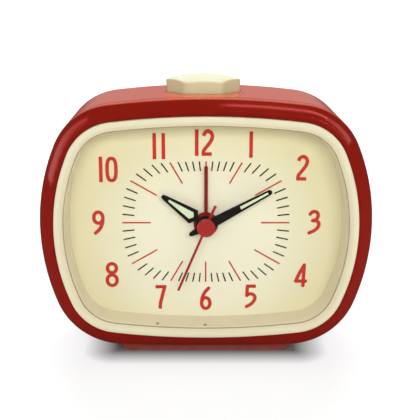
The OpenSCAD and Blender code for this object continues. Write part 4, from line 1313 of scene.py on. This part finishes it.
@dataclass
class FrontStack:
    """What lies inside the rim: the cream bezel, the lens and the wall round the dial."""

    shop: Workshop
    bezel_front: float
    bezel_outer: float = 5.15
    bezel_inner: float = 6.35
    bezel_lip: float = 1.5
    wall_front: float = 7.9
    wall_outer: float = 6.5
    sunk: float = 0.05
    lens_opening: float = 8.3
    lens_edge: float = 9.2
    lens_back: float = 8.0
    lens_rim: float = 6.5
    lens_dome: float = 2.2
    lens_step: float = 0.4
    lens_soft: float = 0.1
    catches_x: tuple[float, float] = (-17.1, -0.2)
    catches_in: float = 8.8
    catches_y: float = -6.8
    catch_half: Spot = (0.55, 0.8, 0.32)

    def build(self) -> None:
        """Builds the bezel, the lens with its seal, and the wall with its catches."""
        self.build_bezel()
        self.build_lens()
        self.build_seal()
        self.build_wall()
        self.build_catches()

    def build_bezel(self) -> None:
        """Sweeps the bezel's section: a soft outer edge, a flat face and a slope down to the lens."""
        front = self.bezel_front
        corners = np.array([
            [self.bezel_outer, -self.sunk], [self.bezel_outer, front + 0.06], [6.85, front - 0.06],
            [self.lens_opening, front + 1.05], [self.lens_opening, front + self.bezel_lip],
            [self.bezel_inner, front + self.bezel_lip], [self.bezel_inner, -self.sunk]])
        cuts = np.array([0.05, 0.6, 0.75, 0.3, 0.05, 0.05, 0.05])
        profile = rounded(corners, cuts, steps=10, hold=0.12)
        near = np.clip(1 - np.abs(profile[:, 0] - self.bezel_outer - 0.2) / 0.4, 0, 1)
        edge = np.repeat(near, self.shop.outline.count)
        self.shop.add("bezel", swept(self.shop.outline, profile), Finishes.cream, "case", "cream",
                      replaces=("bezel_ring",), edge=edge)

    def build_lens(self) -> None:
        """Stacks scaled rings into the lens: a domed front, a flange behind the bezel and a domed back.

        A ring of share s lies at the dome's edge depth less the dome's height times 1 - s^2.
        """
        share = np.linspace(0.04, 1.0, 16)
        face, hollow = self.lens_opening + 0.15, self.lens_opening + 0.6
        rim, soft_rim = self.lens_rim, self.lens_rim + self.lens_soft
        edge, back = -self.lens_edge, -self.lens_back
        rings = [(face, s, edge - self.lens_step - self.lens_dome * (1 - s**2)) for s in share]
        rings += [(face, 1.0, edge), (soft_rim, 1.0, edge), (rim, 1.0, edge + self.lens_soft),
                  (rim, 1.0, back - self.lens_soft), (soft_rim, 1.0, back)]
        rings += [(hollow, s, back - (self.lens_dome + self.lens_step) * (1 - s**2)) for s in share[::-1]]
        loops = np.stack([np.insert(self.shop.outline.ring(inset) * s, 1, depth, axis=1)
                          for inset, s, depth in rings])
        self.shop.add("lens_cover", capped(loops), Finishes.lens_clear, "case", "lens_clear",
                      replaces=("lens",))

    def build_seal(self) -> None:
        """Sweeps the thin tan bead that shows between the bezel and the lens."""
        outer, inner = self.lens_opening - 0.04, self.lens_opening + 0.24
        front, back = -self.lens_edge - 0.5, -self.lens_edge - 0.05
        corners = np.array([[outer, back], [outer, front], [inner, front], [inner, back]])
        profile = rounded(corners, np.array([0.02, 0.08, 0.08, 0.02]), steps=4, hold=0.01)
        self.shop.add("lens_seal", swept(self.shop.outline, profile), Finishes.seal_tan, "case", "cream")

    def build_catches(self) -> None:
        """Sets two small catches on the lower wall, at the height of its bow there."""
        outline = self.shop.outline
        low = self.catches_in - outline.half_h
        spots = [pillow((x, self.catches_y, low + x**2 / (2 * outline.top_r)), self.catch_half, square=0.6)
                 for x in self.catches_x]
        self.shop.add("wall_catches", joined(spots), Finishes.catch_tan, "case", "cream")

    def build_wall(self) -> None:
        """Sweeps the sloping wall round the dial."""
        corners = np.array([
            [self.wall_outer, -self.sunk], [self.wall_outer, -self.wall_front], [8.7, -self.wall_front],
            [9.4, -self.sunk]])
        profile = rounded(corners, np.array([0.05, 0.05, 0.25, 0.05]), steps=6)
        # The wall wears the lighter cream copy, painted light for its recess
        self.shop.add("dial_wall", swept(self.shop.outline, profile), Finishes.lightened_wall_cream, "case", "cream",
                      replaces=("dial_surround",))


@dataclass(frozen=True)
class Stroke:
    """A printed stroke: its path, whether its ends are round, and whether it is a loop."""

    path: np.ndarray
    round_ends: bool = False
    closed: bool = False


@dataclass
class DialPrint:
    """The red numbers, and the red and black ticks, printed on the dial."""

    shop: Workshop
    stroke: float = 1.28
    digit_h: float = 9.1
    tick_w: float = 0.52
    minute_w: float = 0.48
    ticks_up: float = 0.12
    print_t: float = 0.03
    layer_t: float = 0.004

    def build(self) -> None:
        """Prints the numbers and the ticks, and paints the dial."""
        self.build_numbers()
        self.build_ticks()
        self.shop.dress_nodes(Finishes.dial_paint, "dial")

    def digits(self) -> dict[str, list[Stroke]]:
        """Strokes of the digits, from each digit's lower left corner.

        Returns:
            The strokes of each digit.
        """
        def curve(*points: tuple[float, float], round_ends: bool = True) -> Stroke:
            """A smooth stroke through points."""
            return Stroke(smooth_path(np.array(points)), round_ends)

        def bar(*points: tuple[float, float], round_ends: bool = False) -> Stroke:
            """A straight stroke through points."""
            return Stroke(np.array(points), round_ends)

        def oval(x: float, z: float, half_w: float, half_h: float, power: float = 2.0) -> Stroke:
            """A loop about a middle, rounder or squarer by its power.

            Args:
                x: The middle's place across.
                z: The middle's height.
                half_w: Half its width.
                half_h: Half its height.
                power: 2 for an ellipse, more for a squarer loop.

            Returns:
                The stroke.
            """
            turn = np.linspace(0.0, 2 * np.pi, 64, endpoint=False)
            c, s = np.cos(turn), np.sin(turn)
            across = x + half_w * np.sign(c) * np.abs(c) ** (2 / power)
            up = z + half_h * np.sign(s) * np.abs(s) ** (2 / power)
            return Stroke(np.column_stack([across, up]), closed=True)

        top, low = self.digit_h - self.stroke / 2, self.stroke / 2
        return {
            "0": [oval(2.18, self.digit_h / 2, 1.54, self.digit_h / 2 - low, 2.7)],
            "1": [bar((0.68, 0.0), (0.68, self.digit_h))],
            "2": [curve((0.75, 7.0), (1.1, 8.0), (2.25, top + 0.1), (3.4, 7.9), (3.72, 6.7), (3.2, 5.2),
                        (1.9, 3.4), (0.9, 2.1), (0.66, 1.2), (0.66, 0.02), round_ends=False),
                  bar((0.1, low), (3.55, low))],
            "3": [curve((0.85, 7.55), (1.5, 8.25), (2.45, top), (3.45, 7.9), (3.62, 6.7), (3.0, 5.6),
                        (1.8, 5.15)),
                  curve((1.8, 5.15), (3.2, 5.0), (4.0, 4.1), (3.7, 2.8), (2.5, 1.55), (0.66, low))],
            "4": [curve((3.6, top), (2.0, 5.4), (0.66, 2.35)),
                  bar((0.66, 2.35), (4.2, 2.35), round_ends=True),
                  curve((3.6, top), (3.45, 4.5), (3.32, low))],
            "5": [bar((0.42, top), (3.95, top)),
                  bar((0.92, top), (0.72, 4.9), round_ends=True),
                  curve((0.72, 4.95), (1.7, 5.5), (2.8, 5.4), (3.66, 4.4), (3.4, 3.0), (2.3, 1.65),
                        (0.66, low))],
            "6": [oval(2.15, 2.66, 1.5, 2.03),
                  curve((0.66, 2.5), (0.85, 4.5), (1.75, 6.7), (3.15, top - 0.1))],
            "7": [bar((0.05, top), (4.03, top)),
                  curve((3.42, top), (2.6, 5.4), (1.85, 2.2), (1.7, 0.02), round_ends=False)],
            "8": [oval(2.3, 7.02, 1.6, 1.72), oval(2.3, 2.5, 1.76, 2.0)],
            "9": [oval(2.24, 6.44, 1.6, 2.03),
                  curve((3.84, 6.6), (3.66, 4.6), (2.75, 2.4), (1.1, low + 0.1))],
        }

    def build_numbers(self) -> None:
        """Prints each number from its digits' strokes, placed by its middle on the dial."""
        digits = self.digits()
        width = {"0": 4.36, "1": 1.36, "2": 4.29, "3": 4.72, "4": 4.86,
                 "5": 4.3, "6": 4.3, "7": 4.08, "8": 4.66, "9": 4.48}
        gap = {"10": 0.9, "11": 1.75, "12": 1.0}
        places = {
            "12": (-0.6, 28.8), "1": (15.55, 28.1), "2": (33.6, 19.95), "3": (38.35, 0.3),
            "4": (34.15, -19.5), "5": (16.3, -27.6), "6": (0.05, -28.25), "7": (-16.1, -27.8),
            "8": (-33.6, -19.3), "9": (-38.0, 0.1), "10": (-34.05, 19.4), "11": (-16.35, 27.6)}
        for label, (middle_x, middle_z) in places.items():
            full = sum(width[d] for d in label) + gap.get(label, 0.0)
            start = middle_x - full / 2
            printed = []
            for digit in label:
                for stroke in digits[digit]:
                    moved = stroke.path + np.array([start, middle_z - self.digit_h / 2])
                    height = self.print_t + self.layer_t * len(printed)
                    printed.append(ribbon(moved, self.stroke, height, stroke.round_ends, stroke.closed))
                start += width[digit] + gap.get(label, 0.0)
            self.shop.add(f"number_{label}", joined(printed), Finishes.print_red, "case", "dial_face")

    def build_ticks(self) -> None:
        """Prints the ticks, which point at the middle and end on rings with the dial's kind of outline."""
        outer = Outline(29.58, 22.15, 202.0, 52.0, 14.2)
        hour_inner = Outline(19.5, 14.5, 138.0, 100.0, 10.6)
        minute_inner = Outline(25.37, 18.76, 182.0, 45.5, 11.6)
        hours = np.radians(np.arange(0, 360, 30))
        minutes = np.radians([a for a in range(0, 360, 6) if a % 30])
        for name, angles, inner, wide, finish in (
                ("hour_ticks", hours, hour_inner, self.tick_w, Finishes.print_red),
                ("minute_ticks", minutes, minute_inner, self.minute_w, Finishes.print_black)):
            bars = []
            for angle, near, far in zip(angles, inner.radius_at(angles), outer.radius_at(angles)):
                way = np.array([np.sin(angle), np.cos(angle)])
                path = np.outer([near, far], way) + np.array([0.0, self.ticks_up])
                bars.append(ribbon(path, wide, self.print_t))
            self.shop.add(name, joined(bars), finish, "case", "dial_face")


@dataclass
class HandSet:
    """The four hands and the round cap in their middle."""

    shop: Workshop
    cap_sides: int = 96
    dish: float = 0.16
    inner_r: float = 0.02

    def build(self) -> None:
        """Builds the cap and paints the hands."""
        self.build_cap()
        self.shop.dress_nodes(Finishes.alarm_red, "alarm_hand")
        self.shop.dress_nodes(Finishes.second_red, "second_hand")
        self.shop.dress_nodes(Finishes.hand_black, "hour_hand", "minute_hand")
        self.shop.dress_nodes(Finishes.lume, "hour_lume", "minute_lume")

    def build_cap(self) -> None:
        """Turns the cap: a disc with a soft edge and a shallow dish in its face."""
        low, high = self.shop.node_box("second_cap")
        radius, thick = high[0], high[1] - low[1]
        floor = thick - self.dish
        corners = np.array([
            [self.inner_r, 0.0], [radius, 0.0], [radius, thick], [radius - 0.75, thick],
            [radius - 0.95, floor], [self.inner_r, floor]])
        rows = rounded(corners, np.array([0.005, 0.05, 0.45, 0.1, 0.1, 0.005]), steps=6, hold=0.01)
        start = int(np.argmin(np.hypot(rows[:, 0], rows[:, 1])))
        profile = np.roll(rows, -start, axis=0)
        points, faces = lathed(profile, self.cap_sides)
        near = nearness(profile, (radius, thick), reach=0.5)
        surface = points + np.array([0.0, high[1], 0.0]), faces
        self.shop.add("hand_cap", surface, Finishes.cap_red, "second_group", "cap_red",
                      replaces=("second_cap",), edge=with_ends(np.repeat(near, self.cap_sides)))


@dataclass
class SnoozeButton:
    """The cream button on top, with its flange inside the case, its stem and its spring."""

    shop: Workshop
    form: ButtonForm
    travel: float = 2.0
    spring_r: float = 2.85
    spring_turns: int = 4
    wire_r: float = 0.25
    flange_out: float = FLANGE_OUT
    flange_t: float = 1.2
    stem_r: float = 2.0
    soft: float = 0.4
    case_wall: float = 2.0
    air: float = 0.3

    def build(self) -> None:
        """Builds the button and its spring."""
        self.build_cap()
        self.build_spring()

    def build_spring(self) -> None:
        """Winds the spring under the flange."""
        low, high = self.shop.node_box("snooze_spring")
        tall = high[2] - low[2]
        middle = np.array([self.form.middle_x, self.form.middle_y, low[2]])
        points, faces = coiled(self.spring_r, tall, self.spring_turns, self.wire_r)
        spring = self.shop.add("button_spring", (points + middle, faces), Finishes.steel, "case", "steel",
                               replaces=("snooze_spring",))
        base = self.shop.place.to_frame(middle)
        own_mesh(spring)

    def build_cap(self) -> None:
        """Stacks scaled outlines from the stem up over the flange and the walls to the crown.

        The top edge follows a quarter circle of the soft radius, in from the wall and down from the crown.
        """
        low = self.shop.node_box("snooze_button")[0]
        plan = self.form.plan()
        angle = np.arctan2(plan[:, 1], plan[:, 0])
        stem = self.stem_r * np.column_stack([np.cos(angle), np.sin(angle)])
        flange = self.form.plan(self.flange_out)
        flange_top = self.flange_height()
        bottom = flange_top - self.flange_t
        levels = [(stem * 0.9, low[2]), (stem, low[2] + 0.2), (stem, bottom), (flange, bottom),
                  (flange, flange_top), (plan, flange_top)]
        walls = [np.insert(ring, 2, level, axis=1) for ring, level in levels]
        walls.append(np.column_stack([plan, self.form.crown(plan) - (self.soft + 0.5)]))
        turn = np.radians(np.linspace(0, 90, 8))
        bend = []
        for drop, inset in zip(self.soft * (1 - np.sin(turn)), self.soft * (1 - np.cos(turn))):
            ring = self.form.plan(-inset)
            bend.append(np.column_stack([ring, self.form.crown(ring) - drop]))
        inner = self.form.plan(-self.soft)
        crown = [np.column_stack([inner * share, self.form.crown(inner * share)])
                 for share in (0.95, 0.8, 0.62, 0.44, 0.26, 0.1)]
        stack = np.stack(walls + bend + crown) + np.array([self.form.middle_x, self.form.middle_y, 0.0])
        edge = np.zeros(stack.shape[:2])
        edge[len(walls):len(walls) + len(bend)] = 1.0
        self.shop.add("button_cap", capped(stack), Finishes.button_cream, "button_group", "cream",
                      replaces=("snooze_button",), edge=with_ends(edge))

    def flange_height(self) -> float:
        """Height of the flange's top: a little air under the case's wall, where the flange is widest.

        Returns:
            The height over the dial's centre.
        """
        outline = self.shop.outline
        reach = self.form.width / 2 + self.flange_out + abs(self.form.middle_x)
        return outline.half_h - self.case_wall - reach**2 / (2 * outline.top_r) - self.air


@dataclass
class Foot:
    """The dull red foot under the case."""

    shop: Workshop
    end_r: float = 1.6
    soft: float = 0.5
    sunk: float = 0.25
    top_points: int = 41
    middle_up: float = 2.0
    half_tall: float = 3.0
    grime_up: float = 1.0

    def build(self) -> None:
        """Carries the foot's front view from front to back, a little smaller at both ends for soft edges.

        The front view has a flat underside, round lower ends and a top on the bow of the case.
        """
        low, high = self.shop.node_box("foot")
        half, bottom = high[0], low[2]
        across = np.linspace(half, -half, self.top_points)
        top = self.shop.case_outline.height(across, 0.0, -1) + self.sunk
        corners = np.vstack([[[-half, bottom], [half, bottom]], np.column_stack([across, top])])
        end_cut = self.end_r * CURVE_REACH
        cuts = np.concatenate([[end_cut, end_cut, 0.05], np.full(self.top_points - 2, 0.02), [0.05]])
        view = rounded(corners, cuts, steps=6, hold=0.02, spans={0: 12})
        middle = np.array([0.0, bottom + self.middle_up])
        bend = np.radians(np.linspace(0, 90, 6))
        front = [(self.soft * (1 - np.sin(b)), low[1] + self.soft * (1 - np.cos(b))) for b in bend]
        back = [(inset, high[1] + low[1] - depth) for inset, depth in reversed(front)]
        rings = []
        for inset, depth in [*front, *back]:
            ring = middle + (view - middle) * np.array([1 - inset / half, 1 - inset / self.half_tall])
            ring[:, 1] += bottom - ring[:, 1].min()
            rings.append(np.insert(ring, 1, depth, axis=1))
        stack = np.stack(rings)
        near = np.clip(1 - (stack[..., 2] - bottom) / self.grime_up, 0, 1)
        self.shop.add("foot_block", capped(stack), Finishes.foot_red, "case", "foot_red",
                      replaces=("foot",), edge=with_ends(near))


@dataclass
class BackFittings:
    """The knobs, the switch, the battery door and the screws at the back."""

    shop: Workshop
    knob_sides: int = 192
    knob_dish: float = 0.5
    flutes: int = 16
    flute_depth: float = 0.45
    grips: int = 5
    grip_pitch: float = 1.5
    grips_down: float = 4.2
    grip_half: Spot = (5.0, 0.28, 0.42)

    def build(self) -> None:
        """Builds the knobs and the door's grips, and paints the rest."""
        self.build_knob("time_knob", "time_knob_group")
        self.build_knob("alarm_knob", "alarm_knob_group")
        self.build_grips()
        shop = self.shop
        shop.dress_nodes(Finishes.knob_black, "alarm_switch")
        shop.dress_nodes(Finishes.case_red, "battery_door")
        shop.dress_nodes(Finishes.steel, "case_screws", "movement_screws", "foot_screws")

    def build_knob(self, node: str, body: str) -> None:
        """Turns a fluted knob with soft edges and a dished end.

        Args:
            node: The knob's CAD node.
            body: The body that it turns with.
        """
        low, high = self.shop.node_box(node)
        radius, tall = (high[0] - low[0]) / 2, high[1] - low[1]
        corners = np.array([
            [0.05, 0.0], [radius, 0.0], [radius, tall], [radius * 0.62, tall],
            [radius * 0.5, tall - self.knob_dish], [0.05, tall - self.knob_dish]])
        rows = rounded(corners, np.array([0.01, 0.5, 0.8, 0.4, 0.4, 0.01]), steps=6, hold=0.02, spans={1: 6})
        profile = rows[2:-3]
        fluted = np.clip((profile[:, 0] - radius * 0.8) / (radius * 0.12), 0, 1)
        points, faces = lathed(profile * np.array([1, -1]), self.knob_sides, self.flutes, self.flute_depth,
                               fluted)
        middle = np.array([(low[0] + high[0]) / 2, low[1], (low[2] + high[2]) / 2])
        near = nearness(profile, (radius, tall), reach=1.2)
        self.shop.add(f"{node}_turned", (points + middle, faces), Finishes.knob_black, body, "housing_black",
                      replaces=(node,), edge=with_ends(np.repeat(near, self.knob_sides)))

    def build_grips(self) -> None:
        """Sets low bars on the battery door, under its thumb notch."""
        low, high = self.shop.node_box("battery_door")
        middle = (low[0] + high[0]) / 2
        first = high[2] - self.grips_down
        bars = [pillow((middle, high[1], first - self.grip_pitch * k), self.grip_half)
                for k in range(self.grips)]
        self.shop.add("door_grips", joined(bars), Finishes.case_red, "door_group", "case_red")


@dataclass
class Works:
    """The movement, its wheels, its motor and its electronics, the battery and the springs."""

    shop: Workshop

    def build(self) -> None:
        """Paints the works."""
        shop = self.shop
        shop.dress_nodes(Finishes.housing, "movement_front", "movement_mid", "movement_rear", "snooze_switch",
                         "buzzer", "clock_chip")
        shop.dress_nodes(Finishes.nylon, "seconds_wheel", "third_wheel", "clutch_wheel", "motion_wheel",
                         "hour_wheel", "alarm_wheel", "intermediate_wheel", "rotor", "snooze_bracket",
                         "alarm_shaft", "time_shaft")
        shop.dress_nodes(Finishes.brass, "minute_arbor")
        shop.dress_nodes(Finishes.steel, "stator", "quartz_crystal", "battery_contact", "battery_terminal",
                         "battery_spring")
        shop.dress_nodes(Finishes.copper, "coil")
        shop.dress_nodes(Finishes.board, "circuit_board")
        shop.dress_nodes(Finishes.sleeve, "battery")


# Studio


@dataclass(frozen=True)
class Lamp:
    """A soft rectangular light. Sizes here are metres, turns are degrees and the power is in watts."""

    name: str
    place: Spot
    turn: Spot
    size: tuple[float, float]
    power: float
    mirrored: bool = True
    lights: bool = True

    def hang(self) -> None:
        """Hangs the lamp; glossy surfaces show it if it is mirrored, and dull ones are lit if it lights."""
        data = bpy.data.lights.new(self.name, "AREA")
        data.shape = "RECTANGLE"
        data.size, data.size_y = self.size
        data.energy = self.power
        lamp = bpy.data.objects.new(self.name, data)
        lamp.location = self.place
        lamp.rotation_euler = np.radians(self.turn)
        lamp.visible_glossy = self.mirrored
        lamp.visible_diffuse = self.lights
        bpy.context.scene.collection.objects.link(lamp)


@dataclass
class Studio:
    """A plain pale floor, soft lights and the photograph's camera. Sizes here are metres."""

    camera_at: Spot = (-0.004, -0.32363, 0.13596)
    pitch: float = 75.01
    lens: float = 77.14
    sensor: float = 36.0
    shift: float = 0.0368
    nearest: float = 0.01
    ambient: float = 0.38
    mirror_front: float = 0.02
    mirror_back: float = 0.35
    mirror_turn: tuple[float, float] = (0.1, 0.9)
    floor_half: float = 4.0
    floor_rough: float = 0.9
    floor_bounce: float = 0.85
    floor_seen: float = 0.3
    floor_mirrored: float = 0.1
    # These ramps hold the floor's glow back near the foot's footprint, which paints a contact shadow there
    footprint: Spot = (0.0325, 0.016, 1.0)
    glow_near: tuple[float, float] = (0.0125, 0.75)
    glow_far: tuple[float, float] = (0.3, 0.25)
    lamps: tuple[Lamp, ...] = (
        Lamp("back_light", (0.0, 0.65, 0.75), (-43.0, 0.0, 0.0), (0.8, 0.5), 10.0, mirrored=False),
        Lamp("front_light", (0.1, -1.41, 0.6), (68.7, 0.0, 4.0), (1.4, 0.5), 15.5, mirrored=False),
        Lamp("left_light", (-0.6, -0.08, 0.45), (90.0, 11.0, -90.0), (0.12, 0.8), 1.2, lights=False),
        Lamp("right_light", (0.6, -0.08, 0.54), (90.0, -8.0, 90.0), (0.1, 0.6), 0.8, lights=False),
        Lamp("strip_light", (0.27, -0.08, 0.65), (0.0, 0.0, 0.0), (0.46, 0.05), 0.72, lights=False),
    )

    def build(self) -> None:
        """Sets up the camera, the world, the lights and the floor."""
        scene = bpy.context.scene
        scene.view_settings.view_transform = "Standard"
        self.build_camera(scene)
        self.build_world(scene)
        for lamp in self.lamps:
            lamp.hang()
        self.build_floor(scene)

    def build_camera(self, scene: bpy.types.Scene) -> None:
        """Places the camera where the photograph was taken from.

        Args:
            scene: The scene.
        """
        data = bpy.data.cameras.new("photo_camera")
        data.lens = self.lens
        data.sensor_width = self.sensor
        data.shift_x = self.shift
        data.clip_start = self.nearest
        camera = bpy.data.objects.new("photo_camera", data)
        camera.location = self.camera_at
        camera.rotation_euler = (np.radians(self.pitch), 0.0, 0.0)
        scene.collection.objects.link(camera)
        scene.camera = camera

    def build_world(self, scene: bpy.types.Scene) -> None:
        """Makes the world white to the camera and through the lens, and a soft even light to dull surfaces.

        In reflections it is bright behind the clock, where the white background is, and dim before it.

        Args:
            scene: The scene.
        """
        world = bpy.data.worlds.new("studio_world")
        world.use_nodes = True
        tree = world.node_tree
        tree.nodes.remove(tree.nodes["Background"])
        parts = tree.nodes.new("ShaderNodeSeparateXYZ")
        feed(tree, parts.inputs[0], tree.nodes.new("ShaderNodeTexCoord").outputs["Generated"])
        behind = add_ramp(tree, parts.outputs["Y"], self.mirror_turn, (self.mirror_front, self.mirror_back))
        soft, mirrored, white = (self.background(tree, strength) for strength in (self.ambient, behind, 1.0))
        looking, glossy = ray_kinds(tree)
        lit = mix_shaders(tree, glossy, soft, mirrored)
        seen = mix_shaders(tree, looking, lit, white)
        feed(tree, tree.nodes["World Output"].inputs["Surface"], seen.outputs[0])
        scene.world = world

    @staticmethod
    def background(tree: Tree, strength: object) -> bpy.types.Node:
        """Adds a white background.

        Args:
            tree: The world's nodes.
            strength: Its strength, a socket or a number.

        Returns:
            The background.
        """
        node = tree.nodes.new("ShaderNodeBackground")
        feed(tree, node.inputs["Color"], WHITE)
        feed(tree, node.inputs["Strength"], strength)
        return node

    def build_floor(self, scene: bpy.types.Scene) -> None:
        """Lays a wide floor that keeps the clock's shadow and shows white away from the foot's footprint.

        The floor's glow, for the camera only, grows fast at first and then slowly as the distance grows, so
        that the
        floor near the foot is darker: a painted contact shadow over the real one.

        Args:
            scene: The scene.
        """
        half = self.floor_half
        mesh = bpy.data.meshes.new("floor")
        corners = [(-half, -half, 0), (half, -half, 0), (half, half, 0), (-half, half, 0)]
        mesh.from_pydata(corners, [], [(0, 1, 2, 3)])
        floor = bpy.data.objects.new("floor", mesh)
        scene.collection.objects.link(floor)
        material = bpy.data.materials.new("floor_white")
        material.use_nodes = True
        mesh.materials.append(material)
        tree = material.node_tree
        away = self.from_footprint(tree)
        looking, glossy = ray_kinds(tree)
        grey = add_ramp(tree, looking, (0.0, 1.0), (self.floor_bounce, self.floor_seen))
        dim = add_ramp(tree, glossy, (0.0, 1.0), (1.0, self.floor_mirrored))
        # No glow at the footprint: a painted contact shadow round the foot
        near = add_ramp(tree, away, (0.0, self.glow_near[0]), (0.0, self.glow_near[1]))
        far = add_ramp(tree, away, (self.glow_near[0], self.glow_far[0]), (0.0, self.glow_far[1]))
        glow = add_maths(tree, "MULTIPLY", add_maths(tree, "ADD", near, far), looking)
        looks = {
            "Base Color": add_maths(tree, "MULTIPLY", grey, dim), "Roughness": self.floor_rough,
            "Specular IOR Level": 0.0, "Emission Color": WHITE, "Emission Strength": glow}
        for label, value in looks.items():
            feed(tree, tree.nodes["Principled BSDF"].inputs[label], value)

    def from_footprint(self, tree: Tree) -> Socket:
        """Works out how far a place on the floor is from the foot's footprint.

        That is the length of its distances from the middle, each less half the footprint and not under 0.

        Args:
            tree: The floor's nodes.

        Returns:
            The distance.
        """
        away = tree.nodes.new("ShaderNodeTexCoord").outputs["Object"]
        steps = {"ABSOLUTE": None, "SUBTRACT": self.footprint, "MAXIMUM": (0.0, 0.0, 0.0), "LENGTH": None}
        for operation, other in steps.items():
            step = tree.nodes.new("ShaderNodeVectorMath")
            step.operation = operation
            feed(tree, step.inputs[0], away)
            if other:
                feed(tree, step.inputs[1], other)
            away = step.outputs["Value" if operation == "LENGTH" else "Vector"]
        return away


def main() -> None:
    """Builds the clock's pieces in order, then the studio."""
    logging.basicConfig(level=logging.INFO, format="%(message)s")
    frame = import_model()
    shell_low, shell_high = (np.array(corner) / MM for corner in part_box("rear_shell"))
    face_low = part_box("dial")[0]
    place = Place(face_y=face_low[1] / MM, centre_z=(shell_low[2] + shell_high[2]) / 2)
    half_w, half_h = (shell_high[0] - shell_low[0]) / 2, (shell_high[2] - shell_low[2]) / 2
    outline = Outline(half_w - PLAIN_INSET[0], half_h - PLAIN_INSET[1], *UPPER_BOWS)
    upper, lower = (Outline(half_w, half_h, *bows) for bows in (UPPER_BOWS, LOWER_BOWS))
    shop = Workshop(frame, Finishes(EffectGroups()), place, outline,
                    FlaredOutline(outline, upper, lower, reach=RIM_W))
    button_low, button_high = shop.node_box("snooze_button")
    button = ButtonForm(
        middle_x=(button_low[0] + button_high[0]) / 2,
        middle_y=(button_low[1] + button_high[1]) / 2,
        width=button_high[0] - button_low[0] - 2 * FLANGE_OUT,
        depth=button_high[1] - button_low[1] - 2 * FLANGE_OUT,
        top_z=button_high[2])
    shell_back = shop.node_box("rear_shell")[1][1]
    rim_front = shop.node_box("front_frame")[0][1]
    sub_assemblies = (
        CaseShell(shop, button, depth=shell_back, rim_rise=-rim_front),
        FrontStack(shop, bezel_front=shop.node_box("bezel_ring")[0][1]),
        DialPrint(shop),
        HandSet(shop),
        SnoozeButton(shop, button),
        Foot(shop),
        BackFittings(shop),
        Works(shop),
    )
    for sub_assembly in sub_assemblies:
        sub_assembly.build()
        LOG.info("built %s", type(sub_assembly).__name__)
    Studio().build()


if __name__ == "__main__":
    main()
